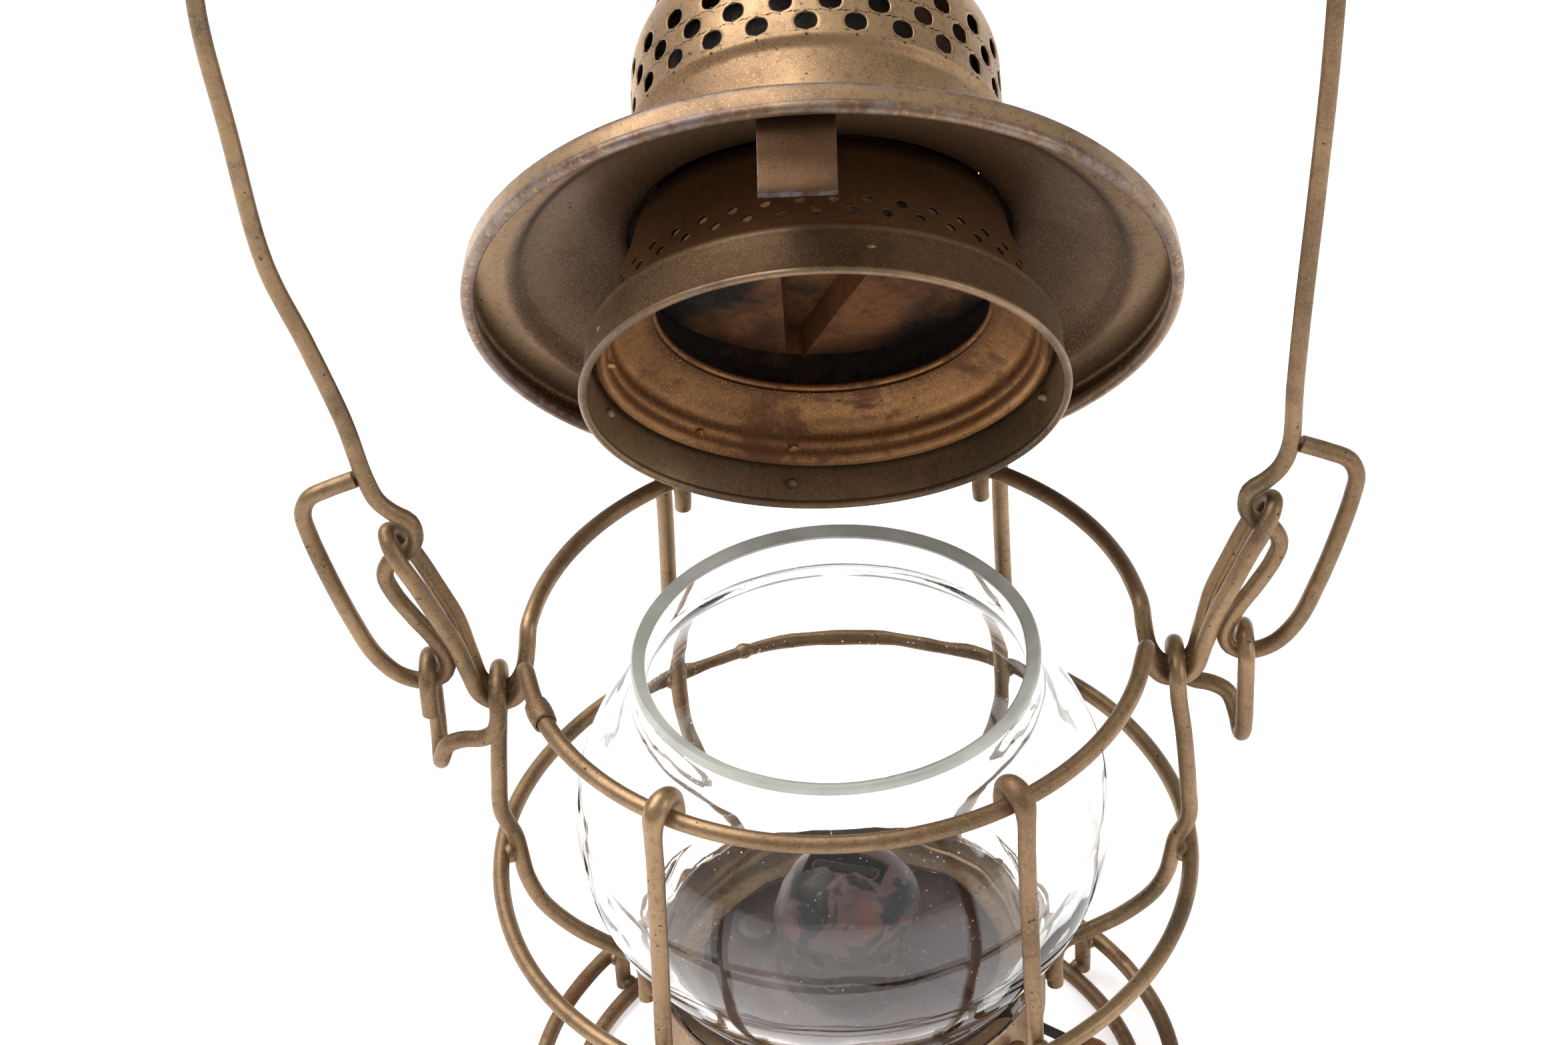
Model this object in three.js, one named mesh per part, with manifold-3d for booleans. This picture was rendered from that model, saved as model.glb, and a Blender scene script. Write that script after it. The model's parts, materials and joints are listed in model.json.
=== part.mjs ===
// Railway hand lantern: a wire frame round a short round globe, with a hinged hood,
// a bail that hangs in two wire ears, and a drop-out fount with a flat-wick burner.
// Millimetres, +Z up. The origin is on the lantern's axis, at the level of the surface
// that the base ring stands on. The hood stands open, tipped back over its hinge.
import * as THREE from 'three';
import { mergeVertices } from 'three/addons/utils/BufferGeometryUtils.js';
import Module from 'manifold-3d';

const wasm = await Module();
wasm.setup();

// Driving dimensions
const GAP = 0.35; // air left between neighbouring pieces
const WIRE_R = 1.65; // all frame wires and the bail
const WIRE_SIDES = 6;
const SHEET = 0.7; // sheet-metal thickness
const TOP_Z = 132; // centreline height of the top ring
const TOP_R = 60; // centreline radius of the top ring
const GUARD_R = 69.7;
const GUARD_Z = 74.7;
const BASE_R = 60.5;
const BUMPER_Z = 8;
const UPRIGHT_ANGLE = 57.4; // degrees from the X axis, four uprights
const LEG_ANGLE = 38;
const EAR_HALF_GAP = 4.2; // ear strand to mid-plane, where the bail passes between them
const EAR_TIP_X = 84.3;
const EAR_TIP_Z = 29; // above the top ring
const BRACKET_X = 79.5; // hook that holds the foot of the bail
const BAIL_FOOT_Z = -7.8;
const BAIL_TOP_Z = 226;
const HOOD_OPEN = 65.3; // degrees, the angle that the hood stands open at
const HINGE_Y = 57.7;
const HINGE_Z = TOP_Z - 7.1;
const PIN_R = 1.2;
const BARREL_R = 2.4;
const GLOBE_TOP = -4; // levels of the globe are measured from the top ring
const GLOBE_BOTTOM = -88;
const GLOBE_WALL = 2.3;
const GLOBE_MAX_R = 53.7;
const GLOBE_MID = -45;
const GLOBE_NECK_R = 40;
const GLOBE_FOOT_R = 38.5;
const SEAT_R = 40.4;
const SEAT_TOP = -84;
const SEAT_BOTTOM = -98;
const SEAT_LEDGE = -88.35;
const BRIM_R = 70.4;
const CHIMNEY_R = 37;
const CHIMNEY_TOP = 68; // upper edge of the band, under the cap
const DOME_Z = 53; // level where the chimney starts to round over
const DOME_RISE = 27;
const CHIMNEY_ROWS = 3;
const CHIMNEY_HOLES = 12; // the real band has twice as many in each row
const HOLE_Z = 43.2; // lowest row of holes
const HOLE_PITCH = 4.65; // from row to row
const COLLAR_HOLES = 16;
const FOUNT_R = 35.5;
const FOUNT_FLOOR = 1.5;
const SPINDLE_AZIMUTH = -18;
const SPINDLE_SLOPE = 20;
const SPINDLE_ASIDE = 3.7; // spindle's centreline to the mid-plane of the wick

const lift = (z) => TOP_Z + z;
const rad = THREE.MathUtils.degToRad;

// Materials
const material = (color, roughness, metalness, extra = {}) =>
  new THREE.MeshStandardMaterial({ color, roughness, metalness, ...extra });
const bronzePaint = material(0x8a744c, 0.45, 0.6);
const wornWire = material(0x7d6a4a, 0.5, 0.6);
const sootedPaint = material(0x5a3f24, 0.65, 0.4);
const rustySheet = material(0x8a4b22, 0.8, 0.2);
const darkTin = material(0x4a3a38, 0.55, 0.6);
const brass = material(0x9a7d42, 0.4, 0.8);
const steel = material(0x5c5450, 0.5, 0.8);
const cotton = material(0xcfc4a8, 0.95, 0);
const clearGlass = material(0xe8eeee, 0.08, 0, { transparent: true, opacity: 0.3 });

// Solid helpers
function cleanSolid(source) {
  const bare = source.index ? source.toNonIndexed() : source.clone();
  bare.deleteAttribute('normal');
  bare.deleteAttribute('uv');
  const welded = mergeVertices(bare, 1e-4);
  const index = welded.index.array;
  const position = welded.attributes.position;
  const kept = [];
  let volume = 0;
  const [a, b, c] = [new THREE.Vector3(), new THREE.Vector3(), new THREE.Vector3()];
  for (let i = 0; i < index.length; i += 3) {
    const [p, q, r] = [index[i], index[i + 1], index[i + 2]];
    if (p === q || q === r || p === r) continue;
    kept.push(p, q, r);
    a.fromBufferAttribute(position, p);
    b.fromBufferAttribute(position, q);
    c.fromBufferAttribute(position, r);
    volume += a.dot(b.cross(c));
  }
  if (volume < 0) {
    for (let i = 0; i < kept.length; i += 3) {
      [kept[i], kept[i + 1]] = [kept[i + 1], kept[i]];
    }
  }
  welded.setIndex(kept);
  return welded;
}

function toManifold(geometry) {
  const clean = cleanSolid(geometry);
  return new wasm.Manifold(new wasm.Mesh({
    numProp: 3,
    vertProperties: new Float32Array(clean.attributes.position.array),
    triVerts: new Uint32Array(clean.index.array),
  }));
}

function fromManifold(solid) {
  const mesh = solid.getMesh();
  const geometry = new THREE.BufferGeometry();
  geometry.setAttribute('position', new THREE.BufferAttribute(mesh.vertProperties.slice(), 3));
  geometry.setIndex(Array.from(mesh.triVerts));
  return geometry;
}

function cut(body, ...tools) {
  let result = toManifold(body);
  for (const tool of tools) result = result.subtract(toManifold(tool));
  return fromManifold(result);
}

function join(body, ...others) {
  let result = toManifold(body);
  for (const other of others) result = result.add(toManifold(other));
  return fromManifold(result);
}

// A turned piece: profile points are [radius, height]; a profile off the axis closes on itself.
function turned(profile, segments = 40) {
  const points = profile.map(([r, z]) => new THREE.Vector2(r, z));
  if (profile[0][0] > 0) points.push(points[0].clone());
  return cleanSolid(new THREE.LatheGeometry(points, segments).rotateX(Math.PI / 2));
}

// A thin turned shell: the line is its outer face, and the wall lies at its left side.
function turnedSheet(line, segments = 40, thickness = SHEET) {
  return turned([...line, ...offsetLine(line, thickness).reverse()], segments);
}

// Moves a line of points sideways to its left by a distance, keeping its corners mitred.
function offsetLine(line, distance) {
  return line.map((point, i) => {
    const before = line[Math.max(i - 1, 0)];
    const after = line[Math.min(i + 1, line.length - 1)];
    const inDir = new THREE.Vector2(point[0] - before[0], point[1] - before[1]).normalize();
    const outDir = new THREE.Vector2(after[0] - point[0], after[1] - point[1]).normalize();
    if (i === 0) inDir.copy(outDir);
    if (i === line.length - 1) outDir.copy(inDir);
    const normal = new THREE.Vector2(-inDir.y - outDir.y, inDir.x + outDir.x).normalize();
    const stretch = distance / (normal.x * -inDir.y + normal.y * inDir.x);
    return [point[0] + normal.x * stretch, point[1] + normal.y * stretch];
  });
}

// A bent strip: its centreline lies in the YZ plane, and its width runs along X.
function bentStrip(line, thickness, width, centreX = 0) {
  const edge = [...offsetLine(line, thickness / 2), ...offsetLine(line, -thickness / 2).reverse()];
  const shape = new THREE.Shape(edge.map(([y, z]) => new THREE.Vector2(y, z)));
  const strip = new THREE.ExtrudeGeometry(shape, { depth: width, bevelEnabled: false });
  strip.applyMatrix4(new THREE.Matrix4().set(
    0, 0, 1, centreX - width / 2,
    1, 0, 0, 0,
    0, 1, 0, 0,
    0, 0, 0, 1,
  ));
  return strip;
}

// A round bar along X.
function barX(radius, length, y, z, x = 0, sides = 16) {
  return new THREE.CylinderGeometry(radius, radius, length, sides)
    .rotateZ(Math.PI / 2).translate(x, y, z);
}

function block(width, depth, height, x, y, z) {
  return new THREE.BoxGeometry(width, depth, height).translate(x, y, z);
}

// A smooth path whose steps fall on its own points, so a bend is as fine as its points are.
class BentPath extends THREE.CatmullRomCurve3 {
  getUtoTmapping(u) {
    return u;
  }
}

// A wire bent through points, with a many-sided round section.
function wire(points) {
  const path = new BentPath(points.map((p) => new THREE.Vector3(...p)));
  const section = new THREE.Shape();
  for (let i = 0; i < WIRE_SIDES; i += 1) {
    const angle = (i * 2 * Math.PI) / WIRE_SIDES;
    section[i ? 'lineTo' : 'moveTo'](WIRE_R * Math.cos(angle), WIRE_R * Math.sin(angle));
  }
  const steps = points.length - 1;
  return cleanSolid(
    new THREE.ExtrudeGeometry(section, { steps, extrudePath: path, bevelEnabled: false }),
  );
}

// A closed wire ring whose section has a flat facing down.
function wireRing(radius, height, segments = 40) {
  const section = [];
  for (let i = 0; i < WIRE_SIDES; i += 1) {
    const angle = ((i + 0.5) * 2 * Math.PI) / WIRE_SIDES - Math.PI / 2;
    section.push([radius + WIRE_R * Math.cos(angle), height + WIRE_R * Math.sin(angle)]);
  }
  return turned(section, segments);
}

// Turns [radius, height] points into 3-D points in the upright plane at an angle.
function atAngle(points, degrees) {
  const [c, s] = [Math.cos(rad(degrees)), Math.sin(rad(degrees))];
  return points.map(([r, z]) => [r * c, r * s, z]);
}

// Node assembly
const lantern = new THREE.Group();
const hood = new THREE.Group();
hood.position.set(0, HINGE_Y, HINGE_Z);
hood.rotation.x = -rad(HOOD_OPEN);
const hoodParts = new THREE.Group();
hoodParts.position.set(0, -HINGE_Y, TOP_Z - HINGE_Z);
hood.add(hoodParts);
lantern.add(hood);

function place(parent, name, geometry, look) {
  const mesh = new THREE.Mesh(geometry, look);
  mesh.name = name;
  parent.add(mesh);
  return mesh;
}

// Wire frame
const SIDE_NAMES = [['right', 1], ['left', -1]];

// One quarter of an ear, from the ring's front arc on the +X side up to the ear's tip.
const EAR_RUN = [
  [59.9, -6.5, -0.8], [60.3, -4.2, -4], [61.3, -2.7, -8.5], [63.6, -2.1, -11.6],
  [66.6, -2.1, -12.2], [69.6, -2.3, -10], [71.3, -3, -4], [73.3, -3.9, 4.5],
  [76.3, -EAR_HALF_GAP, 12], [79.4, -EAR_HALF_GAP, 19.5], [81.9, -EAR_HALF_GAP * 0.93, 24.6],
  [83.6, -EAR_HALF_GAP * 0.6, 27.8],
];
const EAR_TIP = [EAR_TIP_X, 0, EAR_TIP_Z];

function topRing() {
  const joint = 200; // degrees, where the wire's two ends meet inside the weld sleeve
  const arc = (from, to) => {
    const steps = Math.round(Math.abs(to - from) / 9);
    return Array.from({ length: steps + 1 }, (_, i) => {
      const angle = rad(from + ((to - from) * i) / steps);
      return [TOP_R * Math.cos(angle), TOP_R * Math.sin(angle), 0];
    });
  };
  const turn = (p) => [-p[0], -p[1], p[2]];
  const flip = (p) => [p[0], -p[1], p[2]];
  const rightEar = [...EAR_RUN, EAR_TIP, ...EAR_RUN.map(flip).reverse()];
  const leftEar = rightEar.map(turn);
  const points = [
    ...arc(joint + 0.2, 350), ...rightEar, ...arc(10, 170), ...leftEar, ...arc(190, joint - 0.2),
  ];
  return wire(points).translate(0, 0, TOP_Z);
}

function weldSleeve() {
  const sleeve = turned([[2.15, -2.5], [2.65, -2.2], [2.8, 0], [2.65, 2.2], [2.15, 2.5]], 12);
  sleeve.rotateX(Math.PI / 2);
  return sleeve.translate(TOP_R, 0, TOP_Z).rotateZ(rad(200));
}

// Upright: hooked over the top ring, past the guard ring on its inside, down to the seat.
function upright(angle) {
  const run = [
    [56.4, -4.4], [55.9, -1], [56.6, 2.1], [58.1, 3.6], [60, 4.1], [61.8, 3.6],
    [63.3, 2.1], [63.9, -1.5], [64, -10], [64.6, -25], [65.4, -42], [66, -55], [65.9, -59.5],
    [64.6, -65.5], [61, -70.5], [54, -76.6], [47.6, -81.2], [43.8, -84.6], [42.6, -88],
    [42.5, -96.5],
  ];
  return wire(atAngle(run, angle)).translate(0, 0, TOP_Z);
}

// Side upright on the +X side: from the seat up past the guard ring with a crimp, over both
// strands of the ear, down behind, out to a bracket, and up into a hook over the bail's foot.
function sideUpright() {
  const x = BRACKET_X;
  const hookTop = BAIL_FOOT_Z + 5;
  const run = [
    [42.5, 0, -96.5], [42.6, 0, -88], [44, 0, -84.6], [49.5, -0.4, -81], [56.5, -1, -76],
    [62.3, -1.8, -69.5], [65, -2.6, -63], [65.8, -3.2, -58], [66.6, -3.8, -53],
    [68.9, -4.6, -47], [68.7, -5.2, -38], [67.6, -5.7, -24], [66.4, -5.9, -14],
    [66.2, -5.2, -9.7], [66.2, -3, -7.9], [66.2, 0, -7.5], [66.2, 3, -7.9],
    [66.2, 5.2, -9.7], [66.3, 5.9, -13], [67.4, 5.7, -16.8], [70, 5.1, -18.9],
    [73.8, 4.4, -19.6], [76.9, 3.7, -21.4], [78.6, 2.5, -25.8], [79.2, 0, -28.4],
    [79.4, -2.8, -26.3], [x, -4.4, -21], [x, -4.6, -14], [x, -4.6, -8.4], [x, -4.2, -5.4],
    [x, -2.4, hookTop - 0.6], [x, 0, hookTop], [x, 2.4, hookTop - 0.6], [x, 4.2, -5.4],
    [x, 4.6, -8.4], [x, 4.6, -12.5],
  ];
  return wire(run).translate(0, 0, TOP_Z);
}

function leg(angle) {
  const standR = BASE_R + 2 * WIRE_R + GAP;
  const run = [
    [SEAT_R + WIRE_R + GAP + 0.1, 44], [42.6, 35.5], [46, 29], [56, 19.5],
    [standR - 0.9, 12.5], [standR, 8], [standR, 1],
  ];
  return wire(atAngle(run, angle));
}

function buildFrame() {
  place(lantern, 'top_ring', topRing(), wornWire);
  place(lantern, 'ring_weld_sleeve', weldSleeve(), wornWire);
  place(lantern, 'guard_ring', wireRing(GUARD_R, GUARD_Z), wornWire);
  const bumperR = BASE_R + 4 * WIRE_R + 2 * GAP;
  place(lantern, 'bumper_ring', wireRing(bumperR, BUMPER_Z), wornWire);
  const flatR = WIRE_R * Math.cos(Math.PI / WIRE_SIDES);
  place(lantern, 'base_ring', wireRing(BASE_R, flatR), wornWire);
  const corners = [
    ['back_right', 1, 1], ['back_left', -1, 1], ['front_left', -1, -1], ['front_right', 1, -1],
  ];
  for (const [name, sx, sy] of corners) {
    const angleOf = (angle) => (Math.atan2(sy * Math.sin(rad(angle)), sx * Math.cos(rad(angle)))
      * 180) / Math.PI;
    place(lantern, `upright_${name}`, upright(angleOf(UPRIGHT_ANGLE)), wornWire);
    place(lantern, `leg_${name}`, leg(angleOf(LEG_ANGLE)), wornWire);
  }
  for (const [name, side] of SIDE_NAMES) {
    const mesh = place(lantern, `side_upright_${name}`, sideUpright(), wornWire);
    if (side < 0) mesh.rotation.z = Math.PI;
  }
}

// Seat and globe
function seatCollar() {
  const inner = SEAT_R - SHEET;
  const ledgeR = 31.5;
  const ring = turned([
    [inner, SEAT_TOP], [SEAT_R, SEAT_TOP], [SEAT_R, SEAT_BOTTOM], [inner, SEAT_BOTTOM],
    [inner, SEAT_LEDGE - SHEET], [ledgeR, SEAT_LEDGE - SHEET], [ledgeR, SEAT_LEDGE],
    [inner, SEAT_LEDGE],
  ], 36);
  const notch = block(14, 5.4, 16, SEAT_R - 6, -SPINDLE_ASIDE, SEAT_BOTTOM + 3.2)
    .rotateZ(rad(SPINDLE_AZIMUTH));
  return cut(ring, notch).translate(0, 0, TOP_Z);
}

function globe() {
  const halfHeight = 46;
  const bulge = (z, r) => r * Math.sqrt(1 - ((z - GLOBE_MID) / halfHeight) ** 2);
  const outer = [[GLOBE_NECK_R, GLOBE_TOP], [GLOBE_NECK_R - 0.2, -12.5]];
  for (let z = -16; z >= -76; z -= 7.5) outer.push([bulge(z, GLOBE_MAX_R), z]);
  outer.push([GLOBE_FOOT_R, -80.5], [GLOBE_FOOT_R, GLOBE_BOTTOM]);
  const inner = offsetLine(outer, -GLOBE_WALL).reverse();
  inner[0][1] = GLOBE_BOTTOM;
  inner[inner.length - 1][1] = GLOBE_TOP;
  return turned([...outer, ...inner], 36).translate(0, 0, TOP_Z);
}

// Hood, built closed, with heights measured from the top ring
function hoodBrim() {
  const skirtR = BRIM_R - 0.3;
  const sheet = turnedSheet([
    [skirtR, 3.4], [skirtR, 7], [skirtR - 1.2, 8.2], [61, 8.6], [58.4, 10.3], [42, 15.8],
    [37.6, 17.6],
  ], 40, 0.8);
  const bead = turned(Array.from({ length: 6 }, (_, i) => {
    const angle = (i * Math.PI) / 3;
    return [BRIM_R - 1.5 + 1.5 * Math.cos(angle), 3.4 + 1.5 * Math.sin(angle)];
  }), 40);
  return join(sheet, bead);
}

function radialHoles(count, radius, hole, z, phase, sides) {
  return Array.from({ length: count }, (_, i) => new THREE.CylinderGeometry(hole, hole, 6, sides)
    .rotateZ(Math.PI / 2).translate(radius, 0, z)
    .rotateZ(((i + phase) * 2 * Math.PI) / count));
}

// Radius of the chimney's rounded top at a level above DOME_Z
function domeRadius(z) {
  return CHIMNEY_R * Math.sqrt(1 - ((z - DOME_Z) / DOME_RISE) ** 2);
}

function chimneyBand() {
  const foot = CHIMNEY_R - 0.8;
  const line = [
    [CHIMNEY_R, 17.6], [foot, 19.6], [foot, 37.2], [CHIMNEY_R, 39.8], [CHIMNEY_R, DOME_Z],
    ...[58, 62.5, CHIMNEY_TOP].map((z) => [domeRadius(z), z]),
  ];
  const tools = [];
  for (let row = 0; row < CHIMNEY_ROWS; row += 1) {
    const z = HOLE_Z + HOLE_PITCH * row;
    tools.push(...radialHoles(CHIMNEY_HOLES, CHIMNEY_R, 2.2, z, (row % 2) / 2, 5));
  }
  return cut(turnedSheet(line, 42), ...tools);
}

function chimneyCap() {
  const skirtR = domeRadius(CHIMNEY_TOP) + 3 * GAP + SHEET;
  const top = 82;
  const line = [[skirtR, CHIMNEY_TOP - 0.4], [skirtR - 0.2, 70], [27, 74.6], [18, 79], [9, 81.3]];
  const inner = offsetLine([...line, [0, top]], SHEET);
  inner[inner.length - 1] = [0, top - SHEET];
  return turned([...inner.reverse(), ...line, [0, top]], 32);
}

function windShield() {
  return turnedSheet([[30, 26], [31.5, 28], [31.5, 58.6], [33, 60.6]], 32);
}

function hoodCollar() {
  const line = [[44.3, -10.2], [42.4, -3], [38.9, 8], [37.2, 13.5], [36.7, 17]];
  const tools = [
    ...radialHoles(COLLAR_HOLES, 42, 1.4, -2, 0.5, 4),
  ];
  return cut(turnedSheet(line, 32), ...tools);
}

function globeRing() {
  const line = [[45.4, -8.2], [45.5, -11.5], [46.3, -16], [46.9, -17.6]];
  const lip = turned(Array.from({ length: 6 }, (_, i) => {
    const angle = (i * Math.PI) / 3;
    return [46.8 + 0.85 * Math.cos(angle), -17.9 + 0.85 * Math.sin(angle)];
  }), 32);
  return join(turnedSheet(line, 32), lip);
}

function innerRing() {
  return turnedSheet([[42.4, -7.4], [40.8, -3.4], [38.4, -0.8], [34.4, 0.4], [33, 2.6]], 32);
}

function draftVane() {
  const level = 10.6;
  const deep = 17.2; // the fold between its two plates
  const sheet = bentStrip([
    [-36, level], [-8.4, level], [-7.4, deep], [-2, deep], [2, level], [36, level],
  ], 0.6, 72).rotateZ(Math.PI / 2);
  const round = new THREE.CylinderGeometry(35.2, 35.2, 40, 32).rotateX(Math.PI / 2)
    .translate(0, 0, 10);
  return fromManifold(toManifold(sheet).intersect(toManifold(round)));
}

function hingeClip() {
  const z = HINGE_Z - TOP_Z;
  const inner = TOP_R - WIRE_R - GAP - 0.7;
  const outer = TOP_R + WIRE_R + GAP + 0.5;
  const over = WIRE_R + GAP + 0.6;
  const strip = bentStrip([
    [inner - 1.3, z + 1.2], [inner, z + 3.4], [inner, over - 1.2], [inner + 1.2, over],
    [outer - 1.2, over], [outer, over - 1.2], [outer, -2],
  ], 1, 10);
  const barrel = barX(BARREL_R, 10, HINGE_Y, z);
  const bore = barX(PIN_R + GAP, 12, HINGE_Y, z);
  return cut(join(strip, barrel), bore).translate(0, 0, TOP_Z);
}

function hingeLeaf() {
  const z = HINGE_Z - TOP_Z;
  const strap = bentStrip([
    [HINGE_Y + 1.4, z + 1.2], [63.4, -0.6], [64.6, 1.4], [64.4, 4.6], [62.8, 6.3], [60, 6.6],
  ], 1, 18.8);
  const middle = block(10 + 2 * GAP, 14, 13, 0, HINGE_Y + 2, z + 1);
  const knuckles = [-1, 1].map((side) => barX(BARREL_R, 4, HINGE_Y, z, side * 7.4));
  const bore = barX(PIN_R + GAP, 30, HINGE_Y, z);
  return cut(join(cut(strap, middle), ...knuckles), bore);
}

function hingePin() {
  const half = 9.4 + GAP;
  return turned([
    [0, -half - 1], [2, -half - 0.6], [2, -half], [PIN_R, -half], [PIN_R, half], [2, half],
    [2, half + 0.6], [0, half + 1],
  ], 12).rotateY(Math.PI / 2).translate(0, HINGE_Y, HINGE_Z);
}

function latchClip() {
  return bentStrip([
    [-59, 6.6], [-62.4, 6.1], [-64.2, 4.4], [-64.4, 1.5], [-64.1, -1], [-63.4, -5],
    [-63.6, -9.5], [-64.4, -12.6], [-65.6, -13.8],
  ], 0.7, 14.5, -3);
}

function buildHood() {
  place(hoodParts, 'hood_brim', hoodBrim(), bronzePaint);
  place(hoodParts, 'chimney_band', chimneyBand(), bronzePaint);
  place(hoodParts, 'chimney_cap', chimneyCap(), bronzePaint);
  place(hoodParts, 'wind_shield', windShield(), rustySheet);
  place(hoodParts, 'hood_collar', hoodCollar(), bronzePaint);
  place(hoodParts, 'globe_ring', globeRing(), bronzePaint);
  place(hoodParts, 'inner_ring', innerRing(), sootedPaint);
  place(hoodParts, 'draft_vane', draftVane(), rustySheet);
  place(hoodParts, 'hinge_leaf', hingeLeaf(), bronzePaint);
  place(hoodParts, 'latch_clip', latchClip(), bronzePaint);
  place(lantern, 'hinge_clip', hingeClip(), wornWire);
  place(lantern, 'hinge_pin', hingePin(), steel);
}

// Bail: crook round the ear's tip, out through the ear, down through the bracket's hook,
// and up again as a loop whose end butts against the bail's leg.
function bail() {
  const foot = [
    [89.3, 42.3], [94, 40.3], [98, 38.2], [99.6, 34.6], [99, 29.5], [96.4, 19], [93, 8],
    [89.5, -0.8], [85.2, -6.1], [80.6, BAIL_FOOT_Z], [76.9, -6.6], [75.6, -3], [77.4, 2.2],
    [81.2, 8.5], [84.4, 14.5], [85.6, 19], [84, 22.6], [80.8, 24.4], [79, 27.6],
    [79.6, 31.6], [82.6, 34], [85.2, 37], [86.9, 42],
  ];
  const rightLeg = [[87.4, 56], [88.3, 74], [90, 100], [91.4, 126], [91.8, 150]];
  const leftLeg = [[89.6, 56], [94.6, 74], [100, 92], [103, 120], [105.4, 148]];
  const crown = [
    [102.8, 171], [93.6, 193], [77, 211], [53, 222.5], [20, BAIL_TOP_Z], [-12, BAIL_TOP_Z],
    [-43, 222], [-66, 211], [-82, 193.5], [-90, 172],
  ];
  const toPoint = (side) => ([x, z]) => [side * x, 0, z];
  const points = [
    ...foot.map(toPoint(-1)), ...leftLeg.map(toPoint(-1)), ...crown.map(toPoint(-1)),
    ...rightLeg.map(toPoint(1)).reverse(), ...foot.map(toPoint(1)).reverse(),
  ];
  return wire(points).translate(0, 0, TOP_Z);
}

// Fount and burner
function fountTank() {
  const line = [
    [9.5, 43.4], [9.5, 42.2], [24, 41.4], [31, 39.8], [34, 37.6], [FOUNT_R, 34.5],
    [FOUNT_R, 3.5], [33.5, FOUNT_FLOOR],
  ];
  const inner = offsetLine(line, -0.8);
  inner[inner.length - 1] = [0, FOUNT_FLOOR + 0.8];
  line.push([0, FOUNT_FLOOR]);
  const shell = turned([...line.reverse(), ...inner], 30);
  return cut(shell, new THREE.CylinderGeometry(3.4, 3.4, 6, 12).rotateX(Math.PI / 2)
    .translate(-20, 10, 41));
}

function fillerCap() {
  return turned([
    [0, 38.6], [3, 38.6], [3, 42.5], [4.6, 42.5], [4.6, 45], [4, 45.6], [0, 45.6],
  ], 16).translate(-20, 10, 0);
}

const burner = new THREE.Group();
burner.rotation.z = rad(SPINDLE_AZIMUTH);
const SPINDLE_LOW = -92.3; // height of the spindle where it leaves the seat collar
const SPINDLE_OUT = 41;

function burnerCup() {
  const cup = turned([
    [7.8, 43.8], [13, 43.8], [13, 58], [12.3, 58], [12.3, 44.6], [7.8, 44.6],
  ], 20);
  const notch = block(8, 5, 16, 13, -SPINDLE_ASIDE, 54);
  return cut(cup, notch);
}

function burnerDome() {
  const dome = turned([
    [15, 58.4], [15, 60], [14, 64], [11, 68.4], [7, 71.4], [4, 72.4], [4, 71.7], [6.7, 70.7],
    [10.5, 67.8], [13.3, 63.7], [14.3, 60], [14.3, 59.1], [8.6, 59.1], [8.6, 58.4],
  ], 18);
  return cut(dome, block(17, 5.4, 12, 0, 0, 70));
}

function wickTube() {
  const tube = new THREE.BoxGeometry(14.8, 3.6, 12).translate(0, 0, 64);
  return cut(tube, new THREE.BoxGeometry(13.8, 2.6, 14).translate(0, 0, 64));
}

// The spindle slopes down and out, beside the wick, with its spur wheel at the wick's face.
function onSpindle(geometry) {
  const centre = lift(SPINDLE_LOW) + SPINDLE_OUT * Math.tan(rad(SPINDLE_SLOPE));
  return geometry.rotateY(Math.PI / 2 + rad(SPINDLE_SLOPE)).translate(0, -SPINDLE_ASIDE, centre);
}

function wickSpindle() {
  const reach = 53;
  const points = [
    [0, -3], [1.05, -3], [1.05, -1.2], [2.35, -1.2], [2.35, 1.2], [1.05, 1.2],
    [1.05, reach], [0, reach],
  ];
  return onSpindle(turned(points, 12));
}

function wickKnob() {
  const start = 53 + GAP;
  return onSpindle(turned([
    [0, start], [1.5, start], [2.4, start + 1], [2.6, start + 4.2], [1.8, start + 5.6],
    [0, start + 6],
  ], 12));
}

function buildFount() {
  place(lantern, 'fount_tank', fountTank(), darkTin);
  place(lantern, 'filler_cap', fillerCap(), darkTin);
  lantern.add(burner);
  place(burner, 'burner_cup', burnerCup(), brass);
  place(burner, 'burner_dome', burnerDome(), darkTin);
  place(burner, 'wick_tube', wickTube(), brass);
  place(burner, 'wick_spindle', wickSpindle(), steel);
  place(burner, 'wick_knob', wickKnob(), steel);
  place(burner, 'wick', new THREE.BoxGeometry(13, 1.8, 54).translate(0, 0, 43.6), cotton);
}

buildFrame();
place(lantern, 'seat_collar', seatCollar(), bronzePaint);
place(lantern, 'globe', globe(), clearGlass);
buildHood();
place(lantern, 'bail', bail(), wornWire);
buildFount();

export default lantern;
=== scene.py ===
import json
import math

import bmesh
import bpy
from mathutils import Matrix, Vector, noise


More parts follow.
